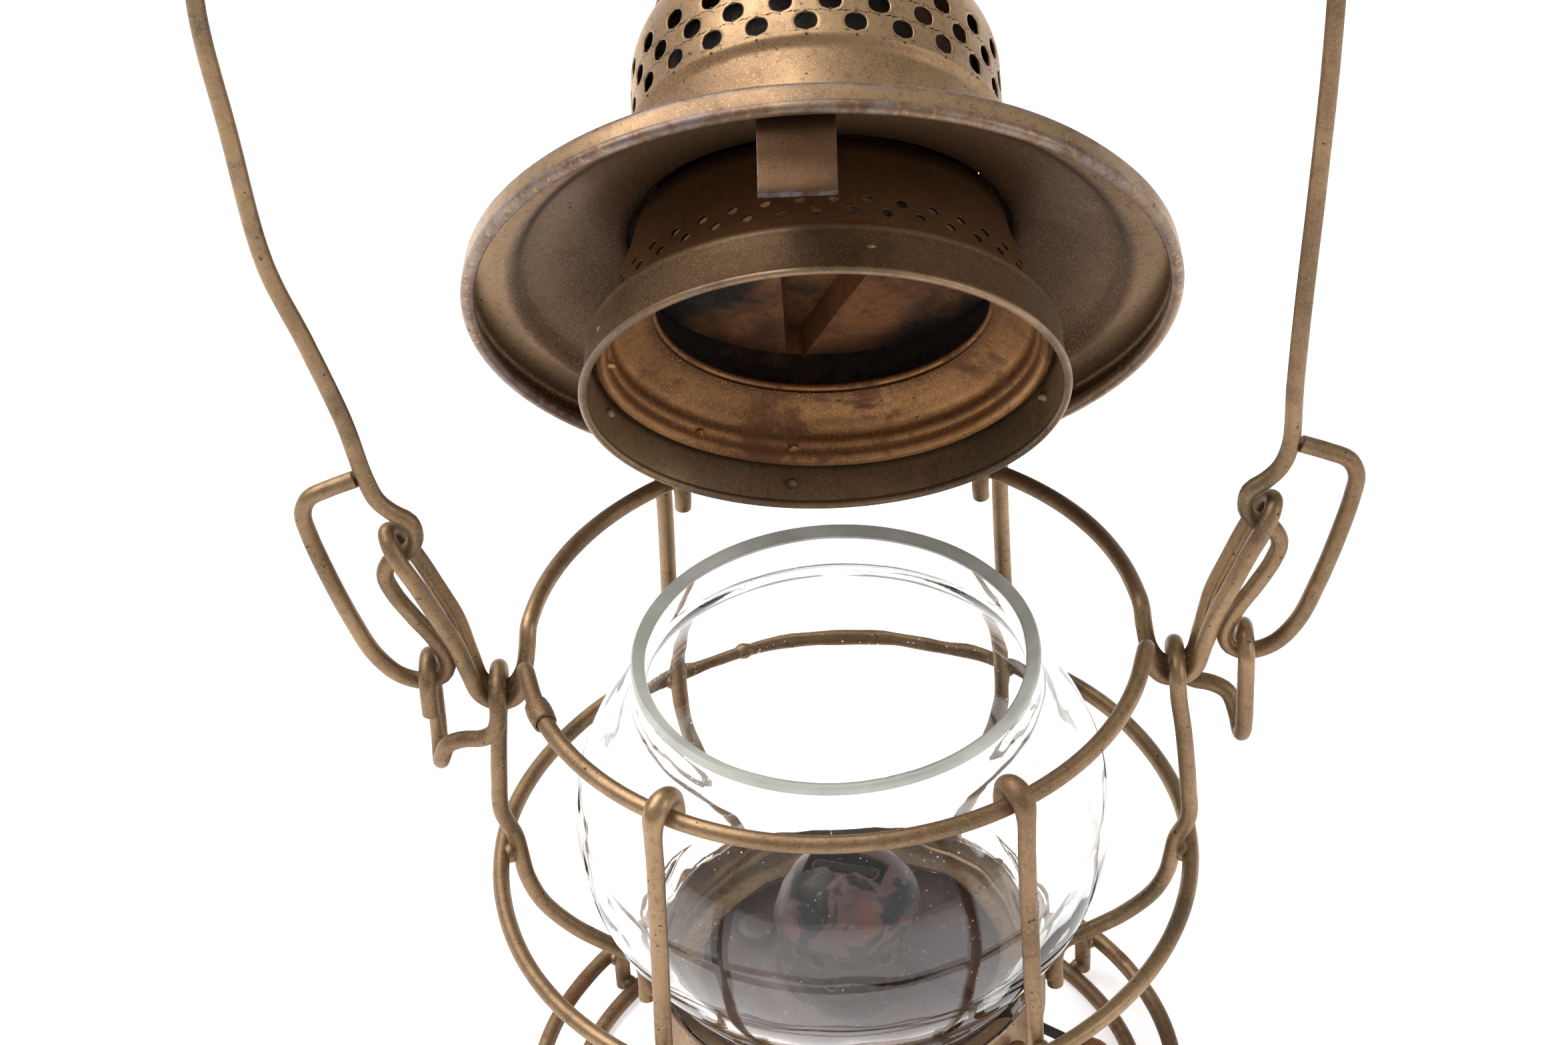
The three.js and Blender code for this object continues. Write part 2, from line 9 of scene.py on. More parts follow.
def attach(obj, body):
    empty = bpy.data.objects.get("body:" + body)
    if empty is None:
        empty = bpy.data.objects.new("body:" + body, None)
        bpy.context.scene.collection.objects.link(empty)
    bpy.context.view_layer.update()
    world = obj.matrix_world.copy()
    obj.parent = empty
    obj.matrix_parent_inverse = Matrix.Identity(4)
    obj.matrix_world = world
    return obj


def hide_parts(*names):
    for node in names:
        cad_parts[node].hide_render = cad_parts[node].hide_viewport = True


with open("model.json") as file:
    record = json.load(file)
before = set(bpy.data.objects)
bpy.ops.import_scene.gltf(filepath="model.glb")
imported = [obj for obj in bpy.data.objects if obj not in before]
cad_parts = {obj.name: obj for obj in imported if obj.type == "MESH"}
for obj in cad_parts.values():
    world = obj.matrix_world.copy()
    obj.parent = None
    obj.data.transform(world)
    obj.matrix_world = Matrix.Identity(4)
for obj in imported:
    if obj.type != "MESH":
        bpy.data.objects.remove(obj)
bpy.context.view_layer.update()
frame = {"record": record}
noise.seed_set(11)  # noise_vector() would otherwise differ from run to run

# Everything below is written in millimetres, and mesh_piece() turns it into metres.
MM = 0.001
JOINTS = {joint["name"]: joint for joint in frame["record"]["behaviour"]["joints"]}
HINGE = Vector(JOINTS["hood_hinge"]["pos_m"]) / MM
HOOD_OPEN = -JOINTS["hood_hinge"]["range_deg"][0]
TOP_Z = HINGE.z + 7.1  # centreline of the top ring
WIRE_R = 1.72
GUARD_R, GUARD_Z = 69.7, 74.7
BASE_R, BASE_Z = 60.5, 1.72
BUMPER_R, BUMPER_Z = 67.8, 8.0
CHIMNEY_R = 37.0
SHEET = 0.75  # thickness of the sheet metal
SPINDLE_AZIMUTH, SPINDLE_SLOPE = -18.0, 20.0  # degrees
SPINDLE_ASIDE = 3.7  # from the spindle to the middle plane of the wick
UPRIGHT_ANGLE, LEG_ANGLE = 57.4, 38.0  # degrees from the X axis


# ---------------------------------------------------------------- camera, lights, floor

CAMERA_AT = Vector((8.9, -628.4, 654.8))
CAMERA_TURN = (1.6, 38.2, -3.12)  # azimuth, elevation and roll in degrees
FOCAL_LENGTH = 96.7
FLOOR_HALF = 6  # metres
WORLD_LIGHT = 0.42
FLOOR_GLOW = 0.55  # keeps the floor as pale as a lit paper sweep
KEY_POWER, FILL_POWER = 19, 2.5  # watts


def make_camera():
    azimuth, elevation, roll = (math.radians(turn) for turn in CAMERA_TURN)
    back = Vector((
        math.sin(azimuth) * math.cos(elevation),
        -math.cos(azimuth) * math.cos(elevation),
        math.sin(elevation),
    ))
    right = Vector((0, 0, 1)).cross(back).normalized()
    up = back.cross(right)
    tilted_right = math.cos(roll) * right + math.sin(roll) * up
    tilted_up = -math.sin(roll) * right + math.cos(roll) * up
    turn = Matrix((tilted_right, tilted_up, back)).transposed().to_4x4()
    data = bpy.data.cameras.new("camera")
    data.lens = FOCAL_LENGTH
    data.sensor_width = 36
    data.clip_end = 20
    camera = bpy.data.objects.new("camera", data)
    camera.matrix_world = Matrix.Translation(CAMERA_AT * MM) @ turn
    bpy.context.collection.objects.link(camera)
    bpy.context.scene.camera = camera


def area_light(name, at, look_at, size, power, colour):
    data = bpy.data.lights.new(name, "AREA")
    data.shape = "RECTANGLE"
    data.size, data.size_y = size
    data.energy = power
    data.color = colour
    light = bpy.data.objects.new(name, data)
    light.location = at
    light.rotation_euler = (Vector(look_at) - Vector(at)).to_track_quat("-Z", "Y").to_euler()
    bpy.context.collection.objects.link(light)


def make_studio():
    world = bpy.data.worlds.new("studio")
    world.use_nodes = True
    world.node_tree.nodes["Background"].inputs["Color"].default_value = (1, 1, 1, 1)
    world.node_tree.nodes["Background"].inputs["Strength"].default_value = WORLD_LIGHT
    bpy.context.scene.world = world
    area_light("top", (-0.55, 0.3, 1.15), (0, 0.04, 0.2), (1.2, 1.0), KEY_POWER, (1.0, 0.985, 0.97))
    area_light("side", (1.0, -0.35, 0.6), (0, 0, 0.12), (0.5, 0.5), FILL_POWER, (1, 1, 1))
    mesh = bpy.data.meshes.new("floor")
    corners = [(x * FLOOR_HALF, y * FLOOR_HALF, 0) for x, y in ((-1, -1), (1, -1), (1, 1), (-1, 1))]
    mesh.from_pydata(corners, [], [(0, 1, 2, 3)])
    floor = bpy.data.objects.new("floor", mesh)
    bpy.context.collection.objects.link(floor)
    material = bpy.data.materials.new("floor_white")
    material.use_nodes = True
    shader = material.node_tree.nodes["Principled BSDF"]
    shader.inputs["Base Color"].default_value = (0.93, 0.925, 0.93, 1)
    shader.inputs["Roughness"].default_value = 0.7
    shader.inputs["Emission Color"].default_value = (1, 0.99, 1, 1)
    shader.inputs["Emission Strength"].default_value = FLOOR_GLOW
    mesh.materials.append(material)


# ---------------------------------------------------------------- materials


class Shade:
    """A Principled material with short calls for the nodes that feed it."""

    def __init__(self, name):
        self.material = bpy.data.materials.new(name)
        self.material.use_nodes = True
        self.tree = self.material.node_tree
        self.shader = self.tree.nodes["Principled BSDF"]
        self.coords = self.add("ShaderNodeTexCoord").outputs["Object"]

    def add(self, kind, **settings):
        node = self.tree.nodes.new(kind)
        for key, value in settings.items():
            setattr(node, key, value)
        return node

    def put(self, socket, value):
        if isinstance(value, bpy.types.NodeSocket):
            self.tree.links.new(value, socket)
        else:
            socket.default_value = value

    def set(self, **values):
        for key, value in values.items():
            name = key.replace("_", " ").title().replace("Ior", "IOR")
            self.put(self.shader.inputs[name], value)
        return self

    def noise(self, scale, detail=4.0, roughness=0.55, distortion=0.0):
        """Noise whose scale counts lumps in a metre: 650 gives a grain of about 1.5 mm."""
        node = self.add("ShaderNodeTexNoise")
        self.put(node.inputs["Vector"], self.coords)
        node.inputs["Scale"].default_value = scale
        node.inputs["Detail"].default_value = detail
        node.inputs["Roughness"].default_value = roughness
        node.inputs["Distortion"].default_value = distortion
        return node.outputs["Fac"]

    def cells(self, scale):
        node = self.add("ShaderNodeTexVoronoi")
        self.put(node.inputs["Vector"], self.coords)
        node.inputs["Scale"].default_value = scale
        return node.outputs["Distance"]

    def level(self, value, low, high, to_low=0.0, to_high=1.0):
        node = self.add("ShaderNodeMapRange", interpolation_type="SMOOTHSTEP")
        self.put(node.inputs["Value"], value)
        for name, number in zip(("From Min", "From Max", "To Min", "To Max"),
                                (low, high, to_low, to_high)):
            node.inputs[name].default_value = number
        return node.outputs["Result"]

    def maths(self, operation, a, b):
        node = self.add("ShaderNodeMath", operation=operation, use_clamp=True)
        self.put(node.inputs[0], a)
        self.put(node.inputs[1], b)
        return node.outputs["Value"]

    def mix(self, amount, a, b):
        node = self.add("ShaderNodeMix", data_type="RGBA")
        self.put(node.inputs[0], amount)
        self.put(node.inputs[6], a if isinstance(a, bpy.types.NodeSocket) else (*a, 1))
        self.put(node.inputs[7], b if isinstance(b, bpy.types.NodeSocket) else (*b, 1))
        return node.outputs[2]

    def worn(self):
        """How bare each place is, from 0 to 1, as the mesh's own wear attribute says; values below 0
        mark painted shade.
        """
        return self.add("ShaderNodeAttribute", attribute_name="wear").outputs["Fac"]

    def bump(self, height, strength, distance):
        node = self.add("ShaderNodeBump")
        self.put(node.inputs["Height"], height)
        node.inputs["Strength"].default_value = strength
        node.inputs["Distance"].default_value = distance * MM
        self.put(self.shader.inputs["Normal"], node.outputs["Normal"])


GOLD = (0.42, 0.272, 0.145)
BRONZE = (0.235, 0.142, 0.074)
OLIVE = (0.17, 0.119, 0.064)
UMBER = (0.085, 0.047, 0.026)
BARE_STEEL = (0.16, 0.145, 0.16)
PURPLE_BROWN = (0.085, 0.047, 0.044)
RUST = (0.26, 0.10, 0.03)
DARK_RUST = (0.08, 0.026, 0.012)
SOOT = (0.016, 0.010, 0.007)


def tinted(colour, tint):
    """The colour times one number, or times one number for each channel."""
    tint = tint if isinstance(tint, tuple) else (tint, tint, tint)
    return tuple(channel * amount for channel, amount in zip(colour, tint))


def bronze_paint(name, age=0.35, wear=0.5, rust=0.0, shine=0.42, tint=1.0):
    """Gold-bronze metallic paint: fine flake, broad mottling, bare edges and rusty spots.

    Where the mesh's wear attribute is below 0 the colour is darkened towards dark brown as painted
    shade, for undersides, inner faces and creases."""
    shade = Shade(name)
    broad = shade.noise(24, 4, 0.55)
    fine = shade.noise(650, 4, 0.65)
    flake = shade.noise(3200, 2, 0.5)
    colour = shade.mix(shade.level(broad, 0.35, 0.68), tinted(GOLD, tint), tinted(BRONZE, tint))
    colour = shade.mix(shade.level(shade.noise(45, 4, 0.6), 0.72 - age * 0.35, 0.9 - age * 0.3),
                       colour, tinted(OLIVE, tint))
    # Painted shade: a wear attribute below 0 darkens the colour to stand in for shade.
    painted_shade = shade.level(shade.worn(), -1.0, 0.0, 1.0, 0.0)
    colour = shade.mix(painted_shade, colour, (0.07, 0.032, 0.013))
    colour = shade.mix(shade.level(fine, 0.48, 0.72, 0, 0.45), colour, UMBER)
    colour = shade.mix(shade.level(flake, 0.52, 0.72, 0, 0.5), colour, tinted((0.6, 0.40, 0.22), tint))
    specks = shade.level(shade.noise(900, 2, 0.4), 0.71, 0.76)
    colour = shade.mix(specks, colour, (0.045, 0.028, 0.02))
    rusted = shade.level(shade.noise(60, 6, 0.7, 0.4), 0.70 - rust * 0.42, 0.80 - rust * 0.38)
    colour = shade.mix(rusted, colour, shade.mix(fine, DARK_RUST, RUST))
    chipped = shade.level(shade.noise(800, 5, 0.7), 0.36, 0.5)
    edge = shade.maths("MULTIPLY", shade.worn(), chipped)
    edge = shade.maths("MULTIPLY", edge, shade.level(shade.noise(30, 3), 0.34, 0.6, 0.55, 1.0))
    patch = shade.level(shade.noise(140, 5, 0.7, 0.6), 0.80 - wear * 0.17, 0.84 - wear * 0.15)
    bare = shade.maths("MAXIMUM", edge, patch)
    metal = shade.mix(shade.level(shade.noise(210, 4), 0.42, 0.6), BARE_STEEL, PURPLE_BROWN)
    colour = shade.mix(bare, colour, metal)
    roughness = shade.level(broad, 0.3, 0.75, shine - 0.06, shine + 0.14)
    dull = shade.maths("MAXIMUM", rusted, specks)
    shade.set(base_color=colour, roughness=shade.maths("ADD", roughness, shade.maths(
        "MULTIPLY", dull, 0.3)))
    shade.set(metallic=shade.level(dull, 0, 1, 0.72, 0.1))
    height = shade.maths("ADD", shade.maths("MULTIPLY", fine, 0.5), shade.maths(
        "MULTIPLY", bare, -0.4))
    height = shade.maths("ADD", height, shade.maths("MULTIPLY", flake, 0.25))
    shade.bump(height, 0.35, 0.12)
    return shade.material


def rusty_sheet(name, soot=0.4):
    shade = Shade(name)
    broad = shade.noise(45, 6, 0.65, 0.5)
    fine = shade.noise(600, 4, 0.6)
    colour = shade.mix(shade.level(broad, 0.38, 0.62), (0.26, 0.105, 0.036), (0.15, 0.06, 0.022))
    colour = shade.mix(shade.level(fine, 0.45, 0.75, 0, 0.7), colour, DARK_RUST)
    dark = shade.level(shade.noise(24, 4, 0.6), 0.62 - soot * 0.5, 0.75 - soot * 0.35)
    colour = shade.mix(dark, colour, SOOT)
    shade.set(base_color=colour, roughness=shade.level(fine, 0.3, 0.7, 0.55, 0.9), metallic=0.15)
    shade.bump(fine, 0.5, 0.2)
    return shade.material


def dark_tin(name, red=0.5, soot=0.2):
    shade = Shade(name)
    broad = shade.noise(55, 6, 0.65, 0.6)
    fine = shade.noise(480, 4, 0.6)
    colour = shade.mix(shade.level(broad, 0.36, 0.62), (0.092, 0.052, 0.049), (0.155, 0.085, 0.076))
    stain = shade.level(shade.noise(120, 5, 0.7, 0.5), 0.72 - red * 0.3, 0.82 - red * 0.28)
    colour = shade.mix(stain, colour, (0.20, 0.075, 0.055))
    sooted = shade.level(shade.noise(85, 3, 0.6, 0.8), 0.80 - soot * 0.3, 0.84 - soot * 0.28)
    colour = shade.mix(sooted, colour, (0.018, 0.016, 0.017))
    colour = shade.mix(shade.level(fine, 0.62, 0.72, 0, 0.5), colour, (0.3, 0.26, 0.22))
    shade.set(base_color=colour, roughness=shade.level(broad, 0.3, 0.7, 0.36, 0.6), metallic=0.35)
    shade.bump(fine, 0.25, 0.15)
    return shade.material


def old_brass(name):
    shade = Shade(name)
    broad = shade.noise(90, 5, 0.6)
    colour = shade.mix(shade.level(broad, 0.35, 0.65), (0.30, 0.185, 0.07), (0.11, 0.06, 0.03))
    shade.set(base_color=colour, roughness=shade.level(broad, 0.3, 0.7, 0.35, 0.6), metallic=0.8)
    shade.bump(shade.noise(700), 0.2, 0.1)
    return shade.material


def cotton(name):
    shade = Shade(name)
    weave = shade.add("ShaderNodeTexWave", wave_type="BANDS", bands_direction="DIAGONAL")
    shade.put(weave.inputs["Vector"], shade.coords)
    weave.inputs["Scale"].default_value = 900
    colour = shade.mix(weave.outputs["Fac"], (0.42, 0.36, 0.26), (0.62, 0.55, 0.42))
    char = shade.add("ShaderNodeSeparateXYZ")
    shade.put(char.inputs["Vector"], shade.coords)
    colour = shade.mix(shade.level(char.outputs["Z"], 0.066, 0.0695), colour, (0.012, 0.01, 0.009))
    shade.set(base_color=colour, roughness=0.95)
    shade.bump(weave.outputs["Fac"], 0.5, 0.3)
    return shade.material


def globe_glass(name):
    """Clear pressed glass under a film of dust, with fine scratches in its bump."""
    shade = Shade(name)
    film = shade.level(shade.noise(22, 5, 0.65), 0.4, 0.75, 0.01, 0.1)
    specks = shade.level(shade.cells(520), 0.0, 0.17, 0.5, 0.0)
    some = shade.level(shade.noise(60, 4, 0.6), 0.42, 0.56)
    dust = shade.maths("ADD", film, shade.maths("MULTIPLY", specks, some))
    shade.set(base_color=shade.mix(dust, (0.985, 0.992, 0.987), (0.8, 0.79, 0.77)))
    shade.set(roughness=shade.level(dust, 0, 0.5, 0.0, 0.6), ior=1.5)
    shade.set(transmission_weight=shade.level(dust, 0, 1, 1.0, 0.3))
    shade.bump(shade.noise(60, 3, 0.5, 0.4), 0.06, 0.6)
    return shade.material


def ground_glass(name):
    shade = Shade(name)
    grain = shade.noise(700, 3)
    broad = shade.level(shade.noise(70, 4), 0.35, 0.7)
    colour = shade.mix(broad, (0.62, 0.63, 0.57), (0.47, 0.48, 0.43))
    shade.set(base_color=colour, roughness=0.5, ior=1.5, transmission_weight=0.1)
    shade.bump(grain, 0.5, 0.25)
    return shade.material


# ---------------------------------------------------------------- mesh helpers


def mesh_piece(name, made, material, body, nodes=(), sharp=35, place=None):
    """Makes an object of (verts, faces, wear) in millimetres, riding on a CAD body."""
    verts, faces, wear = made
    matrix = place or Matrix.Identity(4)
    mesh = bpy.data.meshes.new(name)
    mesh.from_pydata([(matrix @ Vector(v)) * MM for v in verts], [], faces)
    edit = bmesh.new()
    edit.from_mesh(mesh)
    bmesh.ops.recalc_face_normals(edit, faces=edit.faces)
    edit.to_mesh(mesh)
    edit.free()
    mesh.shade_smooth()
    mesh.set_sharp_from_angle(angle=math.radians(sharp))
    # The wear attribute holds bare wear above 0 and painted shade below 0.
    layer = mesh.attributes.new("wear", "FLOAT", "POINT")
    layer.data.foreach_set("value", wear or [0.0] * len(verts))
    mesh.materials.append(material)
    piece = bpy.data.objects.new(name, mesh)
    bpy.context.collection.objects.link(piece)
    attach(piece, body)
    if nodes:
        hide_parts(*nodes)
    return piece


def bake_modifiers(piece):
    """Puts the result of the piece's modifiers in its mesh."""
    graph = bpy.context.evaluated_depsgraph_get()
    mesh = bpy.data.meshes.new_from_object(piece.evaluated_get(graph))
    piece.modifiers.clear()
    piece.data = mesh


def thicken(piece, thickness=SHEET, inside=None):
    """Gives an open surface its wall, in another material on the inner face if one is named."""
    shell = piece.modifiers.new("thickness", "SOLIDIFY")
    shell.thickness = thickness * MM
    shell.offset = -1
    if inside:
        piece.data.materials.append(inside)
        shell.material_offset = 1
    bake_modifiers(piece)


def cut_box(piece, place, size):
    """Cuts a box of the given size, in millimetres, out of a piece."""
    material = piece.data.materials[0]
    bpy.ops.mesh.primitive_cube_add(size=1)
    cutter = bpy.context.object
    cutter.matrix_world = place @ Matrix.Diagonal((*(side * MM for side in size), 1))
    cut = piece.modifiers.new("cut", "BOOLEAN")
    cut.operation = "DIFFERENCE"
    cut.object = cutter
    bake_modifiers(piece)
    piece.data.materials.clear()
    piece.data.materials.append(material)
    bpy.data.objects.remove(cutter)


def merge(parts):
    """Joins several (verts, faces, wear) into one."""
    verts, faces, wear = [], [], []
    for part_verts, part_faces, part_wear in parts:
        shift = len(verts)
        verts += part_verts
        faces += [tuple(i + shift for i in face) for face in part_faces]
        wear += part_wear or [0.0] * len(part_verts)
    return verts, faces, wear


def spline(points, step=1.5, closed=False):
    """A centripetal Catmull-Rom curve through the points, sampled about every step."""
    points = [Vector(p) for p in points]
    count = len(points)
    if closed:
        padded = [points[-1], *points, points[0], points[1]]
    else:
        padded = [2 * points[0] - points[1], *points, 2 * points[-1] - points[-2]]
        count -= 1
    out = []
    for i in range(count):
        p0, p1, p2, p3 = padded[i:i + 4]
        d0, d1, d2 = [max((b - a).length, 1e-6) ** 0.5 for a, b in ((p0, p1), (p1, p2), (p2, p3))]
        t1 = ((p1 - p0) / d0 - (p2 - p0) / (d0 + d1) + (p2 - p1) / d1) * d1
        t2 = ((p2 - p1) / d1 - (p3 - p1) / (d1 + d2) + (p3 - p2) / d2) * d1
        steps = max(1, math.ceil((p2 - p1).length / step))
        for k in range(steps):
            t = k / steps
            c2 = -3 * p1 + 3 * p2 - 2 * t1 - t2
            c3 = 2 * p1 - 2 * p2 + t1 + t2
            out.append(p1 + t * t1 + t * t * c2 + t * t * t * c3)
    if not closed:
        out.append(points[-1])
    return out


def ring_faces(rings, sides, closed=False):
    """Faces between neighbouring rings of vertices, each ring a closed loop of sides."""
    faces = []
    for i in range(rings if closed else rings - 1):
        a, b = i * sides, (i + 1) % rings * sides
        for k in range(sides):
            n = (k + 1) % sides
            faces.append((a + k, a + n, b + n, b + k))
    return faces


def sweep(path, radius=WIRE_R, sides=14, closed=False, swell=None, wobble=0.07):
    """A round bar along a path; swell(point) multiplies its radius."""
    count = len(path)
    path = [p + Vector(noise.noise_vector(p * 0.035)) * wobble for p in path]
    rings = []
    tangents = []
    for i in range(count):
        before = path[i - 1] if closed or i else path[i]
        after = path[(i + 1) % count] if closed or i < count - 1 else path[i]
        tangents.append((after - before).normalized())
    side = tangents[0].orthogonal().normalized()
    for i, point in enumerate(path):
        if i:
            side = tangents[i - 1].rotation_difference(tangents[i]) @ side
        side = (side - side.dot(tangents[i]) * tangents[i]).normalized()
        other = tangents[i].cross(side)
        size = radius * (swell(point) if swell else 1.0)
        size *= 1 + 0.012 * noise.noise(point * 0.25)
        rings.append([
            point + size * (math.cos(a) * side + math.sin(a) * other)
            for a in (2 * math.pi * k / sides for k in range(sides))
        ])
    if closed:  # turn the last frames gradually so that the seam closes without a twist
        first = (rings[0][0] - path[0]).normalized()
        moved = tangents[-1].rotation_difference(tangents[0]) @ side
        twist = math.atan2(moved.cross(first).dot(tangents[0]), moved.dot(first))
        for i, point in enumerate(path):
            turn = Matrix.Rotation(twist * i / count, 3, tangents[i])
            rings[i] = [point + turn @ (v - point) for v in rings[i]]
    else:
        for end, inward in ((0, 1), (-1, -1)):
            ring, centre = rings[end], path[end]
            out = -tangents[end] * inward * radius * 0.12
            small = [centre + (v - centre) * 0.86 + out for v in ring]
            rings = [small, *rings] if end == 0 else [*rings, small]
    verts = [v for ring in rings for v in ring]
    faces = ring_faces(len(rings), sides, closed)
    if not closed:
        faces.append(tuple(range(sides)))
        faces.append(tuple(range(len(verts) - sides, len(verts))))
    return verts, faces, [0.0] * len(verts)


def lathe(profile, segments=128, dent=0.0):
    """Turns (radius, height[, wear]) points about the Z axis; a wear below 0 is painted shade."""
    verts, wear = [], []
    for k in range(segments):
        angle = 2 * math.pi * k / segments
        for r, z, *bare in profile:
            v = Vector((r * math.cos(angle), r * math.sin(angle), z))
            if dent:
                v *= 1 + dent * noise.noise(v * 0.03) / max(r, 10)
            verts.append(v)
            wear.append(bare[0] if bare else 0.0)
    count = len(profile)
    faces = []
    for k in range(segments):
        a, b = k * count, ((k + 1) % segments) * count
        for i in range(count):
            n = (i + 1) % count
            faces.append((a + i, b + i, b + n, a + n))
    return verts, faces, wear


def offset(line, distance):
    """Moves a line of (r, z[, wear]) points to its left."""
    out = []
    for i, point in enumerate(line):
        before, after = line[max(i - 1, 0)], line[min(i + 1, len(line) - 1)]
        run = Vector((after[0] - before[0], after[1] - before[1])).normalized()
        out.append((point[0] - run.y * distance, point[1] + run.x * distance, *point[2:]))
    return out


def smooth(line, step=0.6):
    """Rounds a line of (r, z[, wear]) points."""
    padded = [(p[0], p[1], (p[2] if len(p) > 2 else 0.0)) for p in line]
    return [tuple(p) for p in spline(padded, step)]


def sheet_ring(line, thickness=SHEET, segments=128, step=0.8, dent=0.25, painted_shade=0.0):
    """A turned thin sheet whose wall lies at the line's left; its far face is darkened by the given
    amount as painted shade.
    """
    outer = smooth(line, step)
    inner = [(r, z, min(bare, 0.2) - painted_shade) for r, z, bare in offset(outer, thickness)]
    return lathe([*outer, *reversed(inner)], segments, dent=dent)


def torus(radius, z, r, segments=128, sides=16, wear=0.0):
    profile = [
        (radius + r * math.cos(a), z + r * math.sin(a), wear)
        for a in (2 * math.pi * k / sides for k in range(sides))
    ]
    return lathe(profile, segments)


def strip(line, width, thickness=0.7, centre=0.0, step=0.6):
    """A bent strip: its line is in the YZ plane, and its width runs along X."""
    middle = smooth(line, step)
    outer, inner = offset(middle, thickness / 2), offset(middle, -thickness / 2)
    loop = [*outer, *reversed(inner)]
    edge = min(0.35, thickness * 0.4)
    columns = [(-width / 2, 0.8), (-width / 2 + edge, 1.0), (width / 2 - edge, 1.0), (width / 2, 0.8)]
    verts, wear = [], []
    for x, shrink in columns:
        for i, (y, z, bare) in enumerate(loop):
            m = middle[i] if i < len(middle) else middle[len(loop) - 1 - i]
            verts.append(Vector((centre + x, m[0] + (y - m[0]) * shrink, m[1] + (z - m[1]) * shrink)))
            wear.append(bare if shrink == 1.0 else 0.9)
    count = len(loop)
    faces = ring_faces(len(columns), count)
    half = len(middle)
    for c in (0, len(columns) - 1):
        for i in range(half - 1):
            a, b = c * count + i, c * count + i + 1
            faces.append((a, b, c * count + count - 2 - i, c * count + count - 1 - i))
    return verts, faces, wear


def bar_x(radius, length, y, z, x=0.0, sides=32, bore=0.0):
    """A round bar or tube along X with chamfered ends."""
    half, cut = length / 2, 0.25
    profile = [(radius - cut, -half, 0.6), (radius, -half + cut, 0.6), (radius, half - cut, 0.6),
               (radius - cut, half, 0.6)]
    profile += [(bore or 0.001, half), (bore or 0.001, -half)]
    verts, faces, wear = lathe(profile, sides)
    return [Vector((x + v.z, y + v.x, z + v.y)) for v in verts], faces, wear


def blob(centre, radii, seed, rough=0.12):
    """A lump of solder or weld metal."""
    rings, sides = 9, 14
    verts = []
    for i in range(rings + 1):
        tilt = math.pi * i / rings
        for k in range(sides):
            turn = 2 * math.pi * k / sides
            d = Vector((math.sin(tilt) * math.cos(turn), math.sin(tilt) * math.sin(turn),
                        math.cos(tilt)))
            grow = 1 + rough * noise.noise(d * 1.6 + Vector((seed, seed * 0.7, 0)))
            verts.append(Vector(centre) + Vector((d.x * radii[0], d.y * radii[1],
                                                  d.z * radii[2])) * grow)
    return verts, ring_faces(rings + 1, sides), [0.0] * len(verts)


def perforated(radius_at, low, high, rows, count, hole_r, first_z, pitch):
    """A turned sheet with staggered rows of round punched holes, as one open surface.

    Each hole sits in a cell with 16 corners on its edge, and the rows' cells share them."""
    quarter = 2 * math.pi / count / 4
    columns = count * 4
    verts, faces, grid = [], [], {}

    def vertex(angle, z, inset=0.0):
        r = radius_at(z) - inset
        verts.append(Vector((r * math.cos(angle), r * math.sin(angle), z)))
        return len(verts) - 1

    def corner(column, level, z):
        key = (column % columns, level)
        if key not in grid:
            grid[key] = vertex(column * quarter, z)
        return grid[key]

    start = first_z - pitch / 2
    for row in range(rows):
        shift = 2 * (row % 2)
        middle_z = first_z + row * pitch
        for cell in range(count):
            left = cell * 4 + shift - 2
            edge = [(left + k, 0) for k in range(4)] + [(left + 4, k) for k in range(4)]
            edge += [(left + 4 - k, 4) for k in range(4)] + [(left, 4 - k) for k in range(4)]
            middle = (left + 2) * quarter
            rims = [[corner(c, row * 4 + up, start + (row + up / 4) * pitch) for c, up in edge]]
            radius = radius_at(middle_z)
            for grow, inset in ((1.36, 0.0), (1.1, 0.0), (1.0, 0.1)):
                rim = []
                for column, up in edge:
                    dx = (column - left - 2) * quarter * radius
                    dz = (up / 4 - 0.5) * pitch
                    far = math.hypot(dx, dz)
                    rim.append(vertex(middle + dx / far * hole_r * grow / radius,
                                      middle_z + dz / far * hole_r * grow, inset))
                rims.append(rim)
            for outer, inner in zip(rims, rims[1:]):
                for k in range(16):
                    n = (k + 1) % 16
                    faces.append((outer[k], outer[n], inner[n], inner[k]))
    for level, zs in ((0, low), (rows * 4, high)):
        previous = [corner(c, level, start + level / 4 * pitch) for c in range(columns)]
        for z in zs:
            ring = [vertex(c * quarter, z) for c in range(columns)]
            for c in range(columns):
                n = (c + 1) % columns
                faces.append((previous[c], previous[n], ring[n], ring[c]))
            previous = ring
    return verts, faces, None


def at_angle(points, degrees, lift=0.0):
    c, s = math.cos(math.radians(degrees)), math.sin(math.radians(degrees))
    return [Vector((r * c, r * s, z + lift)) for r, z in points]


# ---------------------------------------------------------------- wire frame

# A quarter of an ear, from the ring's front arc on the +X side up to the ear's tip,
# with heights measured from the top ring.
EAR_RUN = [
    (59.9, -6.5, -0.8), (60.3, -4.2, -4), (61.3, -2.7, -8.5), (63.6, -2.1, -11.6),
    (66.6, -2.1, -12.2), (69.6, -2.3, -10), (71.3, -3, -4), (73.3, -3.9, 4.5),
    (76.3, -4.2, 12), (79.4, -4.2, 19.5), (81.9, -3.9, 24.6), (83.6, -2.5, 27.8),
]
EAR_TIP = (84.3, 0, 29)
UPRIGHT_RUN = [
    (56.4, -4.4), (56.1, -1), (56.8, 2), (58.2, 3.4), (60, 3.9), (61.8, 3.4), (63.2, 2.1),
    (63.9, -1.5), (64, -10), (64.6, -25), (65.4, -42), (66, -55), (65.9, -59.5),
    (64.6, -65.5), (61, -70.5), (54, -76.6), (47.6, -81.2), (43.8, -84.6), (42.4, -88),
    (42.3, -96.5),
]
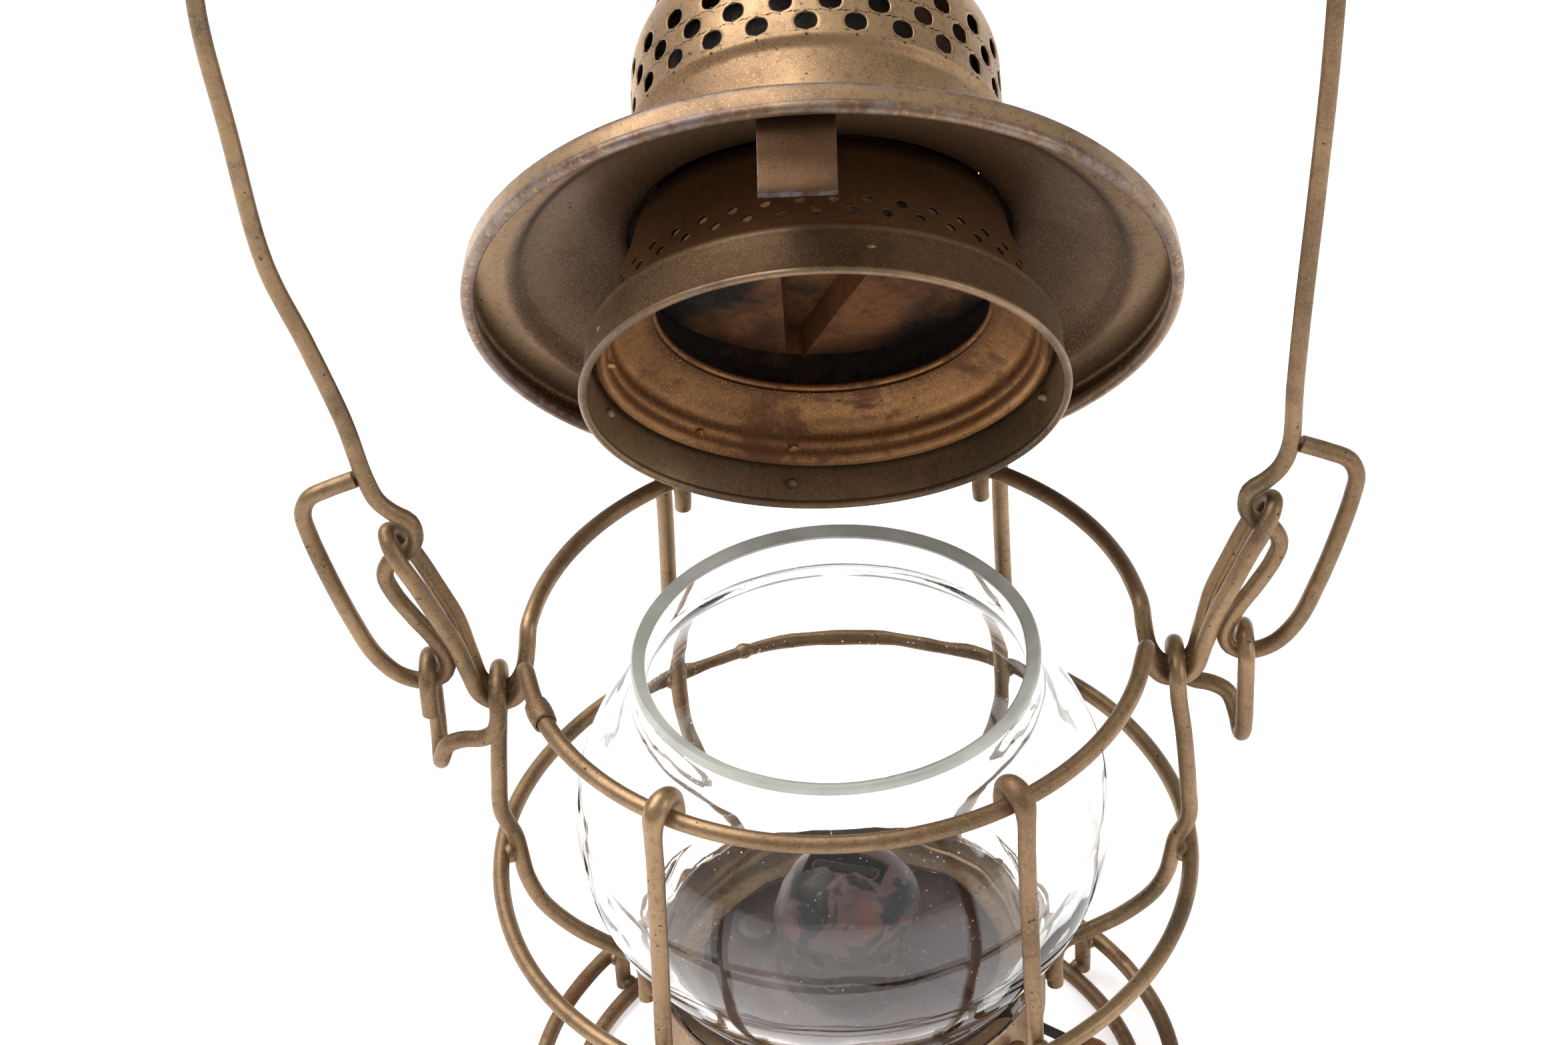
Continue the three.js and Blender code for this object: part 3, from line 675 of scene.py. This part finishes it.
SIDE_RUN = [
    (42.5, 0, -96.5), (42.6, 0, -88), (44, 0, -84.6), (49.5, -0.4, -81), (56.5, -1, -76),
    (62.3, -1.8, -69.5), (65, -2.6, -63), (65.8, -3.2, -58), (66.6, -3.8, -53),
    (68.9, -4.6, -47), (68.7, -5.2, -38), (67.6, -5.7, -24), (66.4, -5.9, -14),
    (66.2, -5.2, -9.7), (66.2, -3, -7.9), (66.2, 0, -7.5), (66.2, 3, -7.9),
    (66.2, 5.2, -9.7), (66.3, 5.9, -13), (67.4, 5.7, -16.8), (70, 5.1, -18.9),
    (73.8, 4.4, -19.6), (76.9, 3.7, -21.4), (78.6, 2.5, -25.8), (79.2, 0, -28.4),
    (79.4, -2.8, -26.3), (79.5, -4.4, -21), (79.5, -4.6, -14), (79.5, -4.6, -8.4),
    (79.5, -4.2, -5.4), (79.5, -2.4, -3.4), (79.5, 0, -2.8), (79.5, 2.4, -3.4),
    (79.5, 4.2, -5.4), (79.5, 4.6, -8.4), (79.5, 4.6, -12.5),
]
LEG_RUN = [
    (42.5, 44), (42.6, 35.5), (46, 29), (56, 19.5), (63.2, 12.5), (64.15, 8), (64.15, 1),
]
BAIL_FOOT = [
    (89.0, 42.3), (94, 40.3), (98, 38.2), (99.6, 34.6), (99, 29.5), (96.4, 19), (93, 8),
    (89.5, -0.8), (85.2, -6.1), (80.6, -7.8), (76.9, -6.6), (75.6, -3), (77.4, 2.2),
    (81.2, 8.5), (84.4, 14.5), (85.6, 19), (84, 22.6), (80.8, 24.4), (79, 27.6),
    (79.6, 31.6), (82.6, 34), (85.2, 37), (86.9, 42),
]
BAIL_RIGHT_LEG = [(87.4, 56), (88.3, 74), (90, 100), (91.4, 126), (91.8, 150)]
BAIL_LEFT_LEG = [(89.6, 56), (94.6, 74), (100, 92), (103, 120), (105.4, 148)]
BAIL_CROWN = [
    (102.8, 171), (93.6, 193), (77, 211), (53, 222.5), (20, 226), (-12, 226), (-43, 222),
    (-66, 211), (-82, 193.5), (-90, 172),
]


def top_ring_path():
    radius, joint = 60.0, 200.0

    def arc(start, end):
        steps = round(abs(end - start) / 6)
        angles = (math.radians(start + (end - start) * i / steps) for i in range(steps + 1))
        return [(radius * math.cos(a), radius * math.sin(a), 0) for a in angles]

    ear = [*EAR_RUN, EAR_TIP, *[(x, -y, z) for x, y, z in reversed(EAR_RUN)]]
    other = [(-x, -y, z) for x, y, z in ear]
    points = [*arc(joint, 350), *ear, *arc(10, 170), *other, *arc(190, joint)[:-1]]
    return spline([Vector(p) + Vector((0, 0, TOP_Z)) for p in points], 1.2, closed=True)


def ring_path(radius, z, seed):
    """A hand-bent wire ring, a little out of true."""
    out = []
    for k in range(240):
        a = 2 * math.pi * k / 240
        lean = Vector((math.cos(a) * 2, math.sin(a) * 2, seed))
        r = radius + 0.25 * noise.noise(lean)
        out.append(Vector((r * math.cos(a), r * math.sin(a), z + 0.2 * noise.noise(lean + lean))))
    return out


def bail_path():
    def side(points, sign):
        return [(sign * x, 0, z + TOP_Z) for x, z in points]

    points = [
        *side(BAIL_FOOT, -1), *side(BAIL_LEFT_LEG, -1), *side(BAIL_CROWN, -1),
        *reversed(side(BAIL_RIGHT_LEG, 1)), *reversed(side(BAIL_FOOT, 1)),
    ]
    return spline(points, 1.3)


# The signs of X and Y at each corner, by the names that the CAD nodes have.
CORNERS = {"back_right": (1, 1), "back_left": (-1, 1), "front_left": (-1, -1),
           "front_right": (1, -1)}


def corner_angle(angle, signs):
    a = math.radians(angle)
    return math.degrees(math.atan2(signs[1] * math.sin(a), signs[0] * math.cos(a)))


def frame_piece(name, made, material, nodes):
    mesh_piece(name, made, material, "frame", nodes)


def make_rings(wire, low_wire):
    frame_piece("top_ring_wire", sweep(top_ring_path(), closed=True), wire, ["top_ring"])
    sleeve = lathe([(1.9, -3.0), (2.35, -2.8), (2.5, -1), (2.5, 1.2), (2.3, 2.8), (1.9, 3.0)], 24)
    at_joint = (Matrix.Rotation(math.radians(200), 4, "Z") @ Matrix.Translation((60, 0, TOP_Z))
                @ Matrix.Rotation(math.pi / 2, 4, "X"))
    mesh_piece("weld_sleeve", sleeve, wire, "frame", ["ring_weld_sleeve"],
               place=at_joint)
    guard = sweep(ring_path(GUARD_R, GUARD_Z, 1), closed=True)
    frame_piece("guard_ring_wire", guard, wire, ["guard_ring"])
    bumper = sweep(ring_path(BUMPER_R, BUMPER_Z, 2), closed=True)
    frame_piece("bumper_ring_wire", bumper, low_wire, ["bumper_ring"])
    base = sweep(ring_path(BASE_R, BASE_Z + 0.1, 3), closed=True, wobble=0.0)
    frame_piece("base_ring_wire", base, low_wire, ["base_ring"])


def make_corner(index, name, signs, wire, low_wire):
    """An upright and the leg beside it; gives back their lumps of solder."""
    angle = corner_angle(UPRIGHT_ANGLE, signs)
    path = spline(at_angle(UPRIGHT_RUN, angle, TOP_Z), 1.0)
    top = at_angle([(61.4, 2.6)], angle, TOP_Z)[0]

    def knuckle(point):
        return 1 + 0.42 * math.exp(-((point - top).length / 3.4) ** 2)

    frame_piece(f"upright_wire_{name}", sweep(path, swell=knuckle, sides=16), wire,
                [f"upright_{name}"])
    leg_angle = corner_angle(LEG_ANGLE, signs)
    leg = sweep(spline(at_angle(LEG_RUN, leg_angle), 1.2))
    frame_piece(f"leg_wire_{name}", leg, low_wire, [f"leg_{name}"])
    joints = (
        (67.9, TOP_Z - 57.3, angle, (2.0, 2.0, 1.5)),  # on the guard ring
        (41.9, TOP_Z - 92.5, angle, (1.9, 1.9, 3.4)),  # on the seat collar
        (42.0, 39, leg_angle, (1.9, 1.9, 3.0)),  # on the seat collar
        (62.6, 2.4, leg_angle, (1.8, 1.8, 1.6)),  # on the base ring
        (65.9, 8, leg_angle, (1.8, 1.8, 1.5)),  # on the bumper ring
    )
    return [blob(at_angle([(r, z)], around)[0], radii, index + 10 * kind)
            for kind, (r, z, around, radii) in enumerate(joints)]


def make_side_upright(name, sign, wire):
    path = spline([Vector((sign * x, sign * y, z + TOP_Z)) for x, y, z in SIDE_RUN], 1.0)
    frame_piece(f"side_upright_wire_{name}", sweep(path), wire, [f"side_upright_{name}"])
    return [blob((sign * 67.9, sign * -3.3, GUARD_Z), (1.9, 2.2, 2.0), sign + 60),
            blob((sign * 41.9, 0, TOP_Z - 92.5), (1.9, 1.9, 3.4), sign + 70)]


def make_frame():
    wire = bronze_paint("wire_paint", age=0.6, wear=0.6, rust=0.12, shine=0.44, tint=0.82)
    low_wire = bronze_paint("low_wire_paint", age=0.5, wear=0.9, rust=0.45, shine=0.48, tint=0.75)
    make_rings(wire, low_wire)
    lumps = []
    for index, (name, signs) in enumerate(CORNERS.items()):
        lumps += make_corner(index, name, signs, wire, low_wire)
    lumps += make_side_upright("right", 1, wire)
    lumps += make_side_upright("left", -1, wire)
    lumps.append(blob(at_angle([(GUARD_R, 0)], 108, GUARD_Z)[0], (2.9, 2.2, 2.1), 80))
    frame_piece("solder_joints", merge(lumps), wire, [])


def make_bail():
    wire = bronze_paint("bail_paint", age=0.65, wear=0.85, rust=0.1, shine=0.46, tint=0.72)
    mesh_piece("bail_wire", sweep(bail_path(), sides=16), wire, "bail", ["bail"])


# ---------------------------------------------------------------- seat, globe and fount


def make_seat():
    paint = bronze_paint("seat_paint", age=0.15, wear=0.4, rust=0.08, tint=1.15)
    line = [(31.5, 43.65, 0.8), (33, 43.7, 0.3), (38.8, 43.7, 0.2), (39.65, 44.4), (39.75, 47.6, 0.3),
            (40.1, 48.1, 0.9), (40.45, 47.7, 0.4), (40.4, 41), (40.4, 36), (40.4, 34.2, 0.8),
            (39.7, 34.2, 0.5), (39.7, 42.2), (38.6, 42.95), (31.5, 42.95, 0.5)]
    seat = mesh_piece("seat_collar_sheet", lathe(line, 160), paint, "frame",
                      ["seat_collar"])
    turn = Matrix.Rotation(math.radians(SPINDLE_AZIMUTH), 4, "Z")
    notch_at = Vector((34.4, -SPINDLE_ASIDE, 37.2)) * MM
    cut_box(seat, turn @ Matrix.Translation(notch_at), (14, 5.4, 16))


def globe_profile():
    """Outer face from the rim down, then the inner face back up, from the top ring."""
    half_height, middle, widest, wall = 46.0, -45.0, 53.7, 2.3

    def bulge(z):
        return widest * math.sqrt(1 - ((z - middle) / half_height) ** 2)

    outer = [(39.6, -4.05), (39.95, -4.5), (40, -6), (39.9, -11), (40.2, -13.4)]
    outer += [(bulge(z), z) for z in (-16, -19, -23, -28, -34, -40, -45, -50, -56, -62, -67, -71,
                                      -74.5)]
    outer += [(40.6, -77.6), (39.0, -79.6), (38.6, -81.5), (38.5, -87.6), (38.2, -88)]
    outer = smooth(outer, 1.4)
    inner = [(r - 0.6 * math.exp(-((z + 4) / 2.5) ** 2), z) for r, z, *_ in offset(outer, -wall)]
    return [(r, z) for r, z, *_ in outer], inner


def make_globe():
    glass = globe_glass("clear_glass")
    rim = ground_glass("ground_rim")
    outer, inner = globe_profile()
    segments = 160
    profile = [*outer, *reversed(inner)]
    verts, faces, wear = lathe(profile, segments)
    out = []
    for index, v in enumerate(verts):
        v = Vector(v)
        within = index % len(profile) >= len(outer)
        flat = Vector((v.x, v.y, 0)).normalized()
        wave = 0.30 if within else 0.10
        v += flat * wave * noise.noise(v * (0.055 if within else 0.04) + Vector((3, 1, 7)))
        v += flat * wave * 0.25 * noise.noise(v * 0.16)
        angle = math.degrees(math.atan2(v.y, v.x))
        near_chip = math.exp(-((angle + 72) / 9) ** 2)
        if v.z > -6:
            v.z -= near_chip * 0.5 * max(0, noise.noise(v * 0.6 + Vector((0, 9, 0))))
        out.append(v)
    piece = mesh_piece("globe_glass", (out, faces, wear), glass, "globe", ["globe"],
                       sharp=50, place=Matrix.Translation((0, 0, TOP_Z)))
    piece.data.materials.append(rim)
    top = (TOP_Z - 4.45) * MM
    for face in piece.data.polygons:
        if all(piece.data.vertices[i].co.z > top - 0.0022 for i in face.vertices):
            face.material_index = 1


def make_fount():
    tin = dark_tin("tank_tin", 0.55)
    line = [(0.01, 1.5), (33.2, 1.5), (34.8, 2.1), (35.4, 3.6), (35.5, 6), (35.5, 36.6), (35.3, 38.2),
            (34.4, 39.6), (32.6, 40.3), (28.6, 40.5), (27.6, 41.0), (26.4, 41.0), (25.4, 40.8),
            (20, 41.4), (16.8, 41.7), (15.8, 42.4), (14.6, 42.4), (13.8, 41.9), (10.4, 42.2),
            (9.6, 43.4), (8.7, 43.4), (8.7, 41), (25, 39.8), (32.2, 39.3), (34.2, 38.2), (34.7, 36),
            (34.7, 4), (33, 2.3), (0.01, 2.3)]
    mesh_piece("tank_shell", lathe(line, 128), tin, "fount", ["fount_tank"])
    cap = [(0.01, 38.6), (2.9, 38.6), (3.0, 42.5), (4.4, 42.5), (4.7, 42.8), (4.7, 44.8),
           (4.3, 45.3), (2.6, 45.6), (2.2, 45.2), (0.01, 45.2)]
    verts, faces, wear = lathe(cap, 48)
    for i, v in enumerate(verts):
        if v.z > 42.6 and math.hypot(v.x, v.y) > 4.5 and (i // len(cap)) % 2:
            v.x *= 0.955
            v.y *= 0.955
    mesh_piece("filler_cap_turned", (verts, faces, wear), dark_tin("cap_tin", 0.3), "filler_cap",
               ["filler_cap"], place=Matrix.Translation((-20, 10, 0)))
    make_burner()


def make_burner():
    turn = Matrix.Rotation(math.radians(SPINDLE_AZIMUTH), 4, "Z")
    brass = old_brass("burner_brass")

    def cup_radius(z):
        return 13.0 + 0.25 * math.sin((z - 44) * 0.45)

    rows, holes, hole_r, first_row, pitch = 2, 16, 1.5, 47.6, 5.4
    cup = perforated(cup_radius, (44.1,), (57.4, 58.0), rows, holes, hole_r, first_row, pitch)
    cup_wall = mesh_piece("burner_cup_wall", cup, brass, "fount", ["burner_cup"],
                          place=turn)
    thicken(cup_wall, 0.6)
    floor = lathe([(7.8, 43.8), (12.9, 43.8), (12.9, 44.5), (7.8, 44.5)], 64)
    mesh_piece("burner_cup_floor", floor, brass, "fount", [])

    dome_tin = dark_tin("dome_tin", 0.8, 0.95)
    line = [(8.6, 58.4), (14.6, 58.4), (15.2, 58.8), (15.1, 59.6), (14.8, 61), (13.9, 64.2),
            (12.4, 66.8), (10.4, 69), (8, 70.9), (5.6, 72), (4.2, 72.4), (4.0, 71.8), (5.4, 71.3),
            (7.7, 70.2), (10, 68.4), (11.9, 66.3), (13.3, 63.8), (14.1, 60.8), (14.2, 59.2),
            (8.6, 59.1)]
    dome = mesh_piece("burner_dome_shell", lathe(line, 96), dome_tin, "fount",
                      ["burner_dome"], place=turn)
    cut_box(dome, turn @ Matrix.Translation((0, 0, 70 * MM)), (17, 5.4, 12))

    mesh_piece("wick_tube_sheet", flat_tube(7.4, 1.8, 0.5, 58, 70), brass, "fount",
               ["wick_tube"], place=turn)
    wick = flat_bar(6.5, 0.9, 16.6, 70.6)
    mesh_piece("wick_cloth", wick, cotton("wick_cotton"), "wick", ["wick"],
               place=turn)
    make_spindle(turn)


def rounded_outline(half_x, half_y, count=8):
    """Points round a flat oval."""
    r = half_y
    points = []
    for sign, start in ((1, -math.pi / 2), (-1, math.pi / 2)):
        for k in range(count + 1):
            a = start + math.pi * k / count
            points.append((sign * (half_x - r) + r * math.cos(a), r * math.sin(a)))
    return points


def flat_bar(half_x, half_y, bottom, top):
    outline = rounded_outline(half_x, half_y)
    count = len(outline)
    levels = 26
    verts = []
    for i in range(levels):
        z = bottom + (top - bottom) * i / (levels - 1)
        for x, y in outline:
            ragged = 0.5 * noise.noise(Vector((x * 0.8, y, 4))) if i == levels - 1 else 0
            verts.append(Vector((x, y + 0.12 * math.sin(z * 0.7), z + ragged)))
    faces = ring_faces(levels, count)
    faces += [tuple(range(count)), tuple(range(len(verts) - count, len(verts)))]
    return verts, faces, None


def flat_tube(half_x, half_y, wall, bottom, top):
    outer = rounded_outline(half_x, half_y)
    inner = rounded_outline(half_x - wall, half_y - wall)
    rings = ((outer, bottom), (outer, top), (inner, top), (inner, bottom))
    verts = [Vector((x, y, z)) for line, z in rings for x, y in line]
    return verts, ring_faces(len(rings), len(outer), closed=True), None


def make_spindle(turn):
    centre = TOP_Z - 92.3 + 41 * math.tan(math.radians(SPINDLE_SLOPE))
    place = (turn @ Matrix.Translation((0, -SPINDLE_ASIDE, centre))
             @ Matrix.Rotation(math.pi / 2 + math.radians(SPINDLE_SLOPE), 4, "Y"))
    steel = rusty_sheet("spindle_rust", 0.9)
    rod = [(0.01, -3), (0.9, -3), (1.05, -2.8), (1.05, -1.2), (1.05, 1.2), (1.05, 10), (1.1, 30),
           (1.05, 52.7), (0.85, 53), (0.01, 53)]
    verts, faces, wear = lathe(rod, 24)
    wheel, teeth = [], 12
    for k in range(teeth * 4):
        r = 2.35 if k % 4 in (1, 2) else 1.75
        a = 2 * math.pi * k / (teeth * 4)
        wheel.append((r * math.cos(a), r * math.sin(a)))
    count = len(wheel)
    wheel_verts = [Vector((x, y, z)) for z in (-1.0, 1.0) for x, y in wheel]
    wheel_faces = ring_faces(2, count)
    wheel_faces += [tuple(range(count)), tuple(range(count, 2 * count))]
    made = merge([(verts, faces, wear), (wheel_verts, wheel_faces, None)])
    mesh_piece("spindle_rod", made, steel, "wick_raiser", ["wick_spindle"],
               place=place)
    knob = [(0.01, 53.3), (1.4, 53.3), (1.9, 53.8), (2.5, 54.6), (2.7, 56.4), (2.5, 58.0),
            (1.9, 58.9), (1.2, 59.3), (0.01, 59.4)]
    verts, faces, wear = lathe(knob, 40)
    for i, v in enumerate(verts):
        v *= 1 + 0.004 * noise.noise(v * 0.7)
    mesh_piece("spindle_knob", (verts, faces, wear), rusty_sheet("knob_rust", 0.1), "wick_raiser",
               ["wick_knob"], place=place)


# ---------------------------------------------------------------- hood


def hood_place():
    """From the hood as it is when shut, measured from the top ring, to where it stands open."""
    return (Matrix.Translation(HINGE) @ Matrix.Rotation(-math.radians(HOOD_OPEN), 4, "X")
            @ Matrix.Translation((0, -HINGE.y, TOP_Z - HINGE.z)))


def hood_piece(name, made, material, nodes, sharp=35, body="hood"):
    return mesh_piece(name, made, material, body, nodes, sharp, hood_place())


def make_hood():
    top_paint = bronze_paint("brim_paint", age=0.12, wear=0.4, rust=0.05, shine=0.42, tint=1.0)
    # The collar's paint is tinted much darker as painted shade, standing in for the brim's shadow.
    collar_paint_with_painted_shade = bronze_paint("collar_paint_with_painted_shade", age=0.4, wear=0.3, rust=0.3, shine=0.46,
                                tint=(0.56, 0.46, 0.37))
    sooty = rusty_sheet("sooty_sheet", 0.6)
    make_brim(top_paint)
    make_chimney(top_paint, sooty)
    make_collar(collar_paint_with_painted_shade, sooty)
    make_globe_ring()
    make_inner_ring()
    make_vane()
    make_latch()
    make_hinge()


def make_brim(paint):
    """A dished sheet with a turned-down wall, and a bead round the wall's lower edge."""
    brim = [(70.1, 3.2, 0.4), (70.15, 4.4, 0.1), (70.1, 6.3, 0.2), (69.8, 7.5, 0.9), (69.0, 8.15, 0.9),
            (67.4, 8.35, 0.2), (62.8, 8.5), (61.0, 8.9), (59.8, 9.7), (58.6, 10.4), (55.5, 11.4),
            (50, 13.1), (44, 15.2), (41, 16.3), (39.4, 17.0), (38.1, 17.7)]
    # The underside's negative values are painted shade: they darken the skirt's inner wall and the
    # underside of the dish.
    under = [(69.3, 3.4, -1), (69.3, 6.6, -1), (68.6, 7.4, -0.3), (67.2, 7.5, -0.2), (63.4, 7.6, -0.4),
             (61.4, 7.7, -0.45), (59.8, 8.5, -0.75), (58.4, 9.6, -0.7), (55.5, 10.6, -0.55),
             (50, 12.3, -0.6), (44, 14.4, -0.7), (39.2, 16.2, -0.75), (38.0, 16.9, -0.7)]
    dish = lathe([*smooth(brim, 0.6), *reversed(smooth(under, 0.6))], 176, dent=0.25)
    bead = torus(69.0, 3.0, 1.4, 176, 18, wear=0.7)
    hood_piece("brim_sheet", merge([dish, bead]), paint, ["hood_brim"])


def make_chimney(paint, sooty):
    rows, holes, hole_r, first_row, pitch = 3, 24, 2.2, 43.2, 4.65
    dome_z, dome_rise = 53.0, 27.0

    def band_radius(z):
        if z > dome_z:
            return CHIMNEY_R * math.sqrt(1 - ((z - dome_z) / dome_rise) ** 2)
        waist = min(max((39.9 - z) / 2.6, 0), 1)
        waist = waist * waist * (3 - 2 * waist)
        foot = 3.4 * math.exp(-((z - 17.6) / 1.25) ** 2)
        shoulder = 0.35 * math.exp(-((z - 40.2) / 0.9) ** 2)
        return CHIMNEY_R - 0.95 * waist + foot + shoulder

    low = [40.4, 40.0, 39.6, 39.2, 38.8, 38.4, 38.0, 37.6, 37.2, 36, 32, 26, 22, 20.6, 19.9, 19.3, 18.8,
           18.3, 17.9]
    high = range(55, 69)
    band = perforated(band_radius, low, high, rows, holes, hole_r, first_row, pitch)
    turn = Matrix.Rotation(math.radians(-1.6), 3, "Z")
    band = ([turn @ v for v in band[0]], *band[1:])
    thicken(hood_piece("chimney_sheet", band, paint, ["chimney_band"], sharp=60), 0.6, sooty)

    cap = [(32.35, 67.6, 0.8), (32.3, 68.4, 0.3), (32.1, 69.4), (31.2, 70.7), (27, 74.6), (22.8, 77.2),
           (18, 79.2), (9, 81.4), (0.6, 82)]
    hood_piece("cap_sheet", sheet_ring(cap, SHEET, 128, 1.2), paint, ["chimney_cap"])

    shield = rusty_sheet("shield_rust", 0.6)
    hood_piece("shield_sheet", sheet_ring([(30, 26), (31.4, 28), (31.5, 32), (31.5, 58), (33, 60.4)],
                                          0.7, 96, 3), shield, ["wind_shield"])


def make_collar(paint, sooty):
    collar_line = [(44.3, -10.2), (43.3, -6.2), (42.4, -3), (40.7, 2.5), (38.9, 8), (37.2, 13.5),
                   (36.7, 17)]

    def collar_radius(z):
        for (r0, z0), (r1, z1) in zip(collar_line, collar_line[1:]):
            if z <= z1 or (r1, z1) == collar_line[-1]:
                t = min(max((z - z0) / (z1 - z0), 0), 1)
                return r0 + (r1 - r0) * t
        return collar_line[-1][0]

    rows, holes, hole_r, first_row, pitch = 2, 40, 1.0, -2.4, 3.0
    low, high = (-5.4, -7.0, -8.4, -10.2), (2.6, 3.4, 5.2, 8, 11, 13.5, 17)
    collar = perforated(collar_radius, low, high, rows, holes, hole_r, first_row, pitch)
    thicken(hood_piece("collar_sheet", collar, paint, ["hood_collar"], sharp=60), inside=sooty)


def make_globe_ring():
    ring = [(44.7, -7.6, 0.5), (45.35, -8.0, 0.6), (45.4, -9.0), (45.5, -11.2), (45.9, -14),
            (46.4, -16.4), (46.8, -17.8)]
    lip = torus(46.75, -18.0, 0.85, 160, 14, wear=0.25)
    bumps = []
    for angle, z in ((-78, -12.6), (20, -12), (100, -14), (160, -12), (-155, -13)):
        bumps.append(blob(at_angle([(45.6, z)], angle)[0], (1.3, 1.3, 1.0), angle * 0.1, 0.3))
    paint = bronze_paint("globe_ring_paint", age=0.75, wear=0.3, rust=0.1, shine=0.44, tint=0.8)
    # The ring's inner face is darkened as painted shade.
    made = merge([sheet_ring(ring, 0.8, 160, 0.5, painted_shade=0.55), lip, *bumps])
    hood_piece("globe_ring_sheet", made, paint, ["globe_ring"])


def make_inner_ring():
    # The negative values are painted shade in the step creases and towards the inner lip, and the lip
    # torus and the far face are darkened the same way; the positive values are bare worn edges.
    line = [(43.9, -10.4, -0.1), (43.5, -9.8), (43.0, -9.3, 0.15), (42.8, -8.2, -0.25), (42.5, -7.2),
            (42.1, -6.6, 0.15), (41.9, -5.6, -0.35), (41.6, -4.4), (41.1, -3.5, 0.25), (40.5, -2.9),
            (39.4, -1.9, -0.15), (37.9, -1.0), (36.0, -0.2), (34.5, 0.4, -0.3), (33.5, 0.9, -0.6)]
    lip = torus(33.3, 1.5, 0.75, 144, 12, wear=-0.35)
    tabs = []
    for angle in (-12, 100, 128, 175, 240, 300):
        tabs.append(blob(at_angle([(41.9, -7.8)], angle)[0], (1.1, 1.1, 0.8), angle * 0.07, 0.5))
    paint = bronze_paint("inner_ring_paint", age=0.1, wear=0.4, rust=0.46, shine=0.42,
                         tint=(1.35, 1.05, 0.78))
    made = merge([sheet_ring(line, SHEET, 144, 0.3, 0.4, painted_shade=0.3), lip, *tabs])
    hood_piece("inner_ring_sheet", made, paint, ["inner_ring"])


def make_vane():
    """A baffle across the collar: two flat plates with a deep slanting fold between them."""
    level, deep, radius, thickness = 10.6, 17.5, 35.6, 0.6
    fold_left = -8.1

    def crest(y):
        return -4.8 + (radius - y) * 0.43

    verts, wear = [], []
    rows = [radius * math.sin(math.pi * (i / 36 - 0.5)) * 0.9995 for i in range(37)]
    for side in (0, thickness):
        for y in rows:
            half = math.sqrt(radius ** 2 - y * y)
            right = min(crest(y), half)
            left = min(max(fold_left, -half), right)
            stops = [(-half, level), (left, level), (left + 0.5, deep), (right - 0.4, deep),
                     (right, level - 0.4), (min(right + 1.5, half), level), (half, level)]
            for (x0, z0), (x1, z1) in zip(stops, stops[1:]):
                for k in range(6):
                    x = x0 + (x1 - x0) * k / 6
                    sag = 0.3 * noise.noise(Vector((x, y, 0)) * 0.08)
                    verts.append(Vector((x, y, z0 + (z1 - z0) * k / 6 + sag + side)))
                    wear.append(0.9 if z0 != z1 and z1 < z0 and k > 3 else 0.0)
            verts.append(Vector((half, y, level + side)))
            wear.append(0.0)
    wide = len(verts) // 2 // len(rows)
    layer = wide * len(rows)
    faces = []
    for i in range(len(rows) - 1):
        for k in range(wide - 1):
            a = i * wide + k
            faces.append((a, a + 1, a + wide + 1, a + wide))
            faces.append(tuple(v + layer for v in (a + wide, a + wide + 1, a + 1, a)))
    last = (len(rows) - 1) * wide
    border = [*range(wide), *range(2 * wide - 1, last + wide, wide),
              *range(last + wide - 2, last - 1, -1), *range(last - wide, 0, -wide)]
    for a, b in zip(border, border[1:] + border[:1]):
        faces.append((a, b, b + layer, a + layer))
    hood_piece("vane_sheet", (verts, faces, wear), rusty_sheet("vane_rust", 0.3), ["draft_vane"],
               sharp=50)


def make_latch():
    # The latch's paint is tinted dark as painted shade, standing in for the shadow under the brim.
    paint = bronze_paint("latch_paint_with_painted_shade", age=0.5, wear=0.45, rust=0.1, shine=0.42,
                         tint=(0.36, 0.28, 0.22))
    line = [(-59, 6.6), (-61.2, 6.5), (-63.2, 5.6, 0.1), (-64.3, 4.0, 0.2), (-64.5, 1.8), (-63.9, -1.6),
            (-63.2, -4.8), (-63.1, -7.6, 0.1), (-63.6, -10.4), (-64.3, -12.0, 0.3), (-65.4, -13.2, 0.6),
            (-66.2, -13.6, 1.0)]
    hood_piece("latch_strip", strip(line, 14.5, 0.75, -3), paint, ["latch_clip"], body="latch")


def make_hinge():
    paint = bronze_paint("hinge_paint", age=0.5, wear=0.6, rust=0.2, shine=0.46)
    y, z = HINGE.y, HINGE.z - TOP_Z
    leaf = [(y + 1.4, z + 1.2), (63.4, -0.6), (64.6, 1.4), (64.4, 4.6), (62.8, 6.3), (60, 6.6)]
    straps = [strip(leaf, 3.6, 1.0, side * 7.5) for side in (-1, 1)]
    bridge = strip(leaf[2:], 18.8, 1.0, 0)
    knuckles = [bar_x(2.4, 4, y, z, side * 7.4, bore=1.5) for side in (-1, 1)]
    mesh_piece("hinge_leaf_sheet", merge([*straps, bridge, *knuckles]), paint, "hood",
               ["hinge_leaf"], place=hood_place())
    clip = [(y - 1.9, z + 1.2), (57.3, z + 3.4), (57.3, 1.4), (58.3, 2.6), (61.7, 2.6), (62.7, 1.4),
            (62.5, -2)]
    made = merge([strip(clip, 10, 1.0, 0), bar_x(2.4, 10, y, z, bore=1.5)])
    lift = Matrix.Translation((0, 0, TOP_Z))
    mesh_piece("hinge_clip_sheet", made, paint, "frame", ["hinge_clip"], place=lift)
    pin = merge([bar_x(1.25, 19.6, y, z), bar_x(2.0, 0.9, y, z, -10.2), bar_x(2.0, 0.9, y, z, 10.2)])
    mesh_piece("hinge_pin_rod", pin, rusty_sheet("pin_rust", 0.6), "frame",
               ["hinge_pin"], place=lift)


make_camera()
make_studio()
make_frame()
make_bail()
make_seat()
make_globe()
make_fount()
make_hood()
bpy.context.scene.view_settings.view_transform = "Standard"
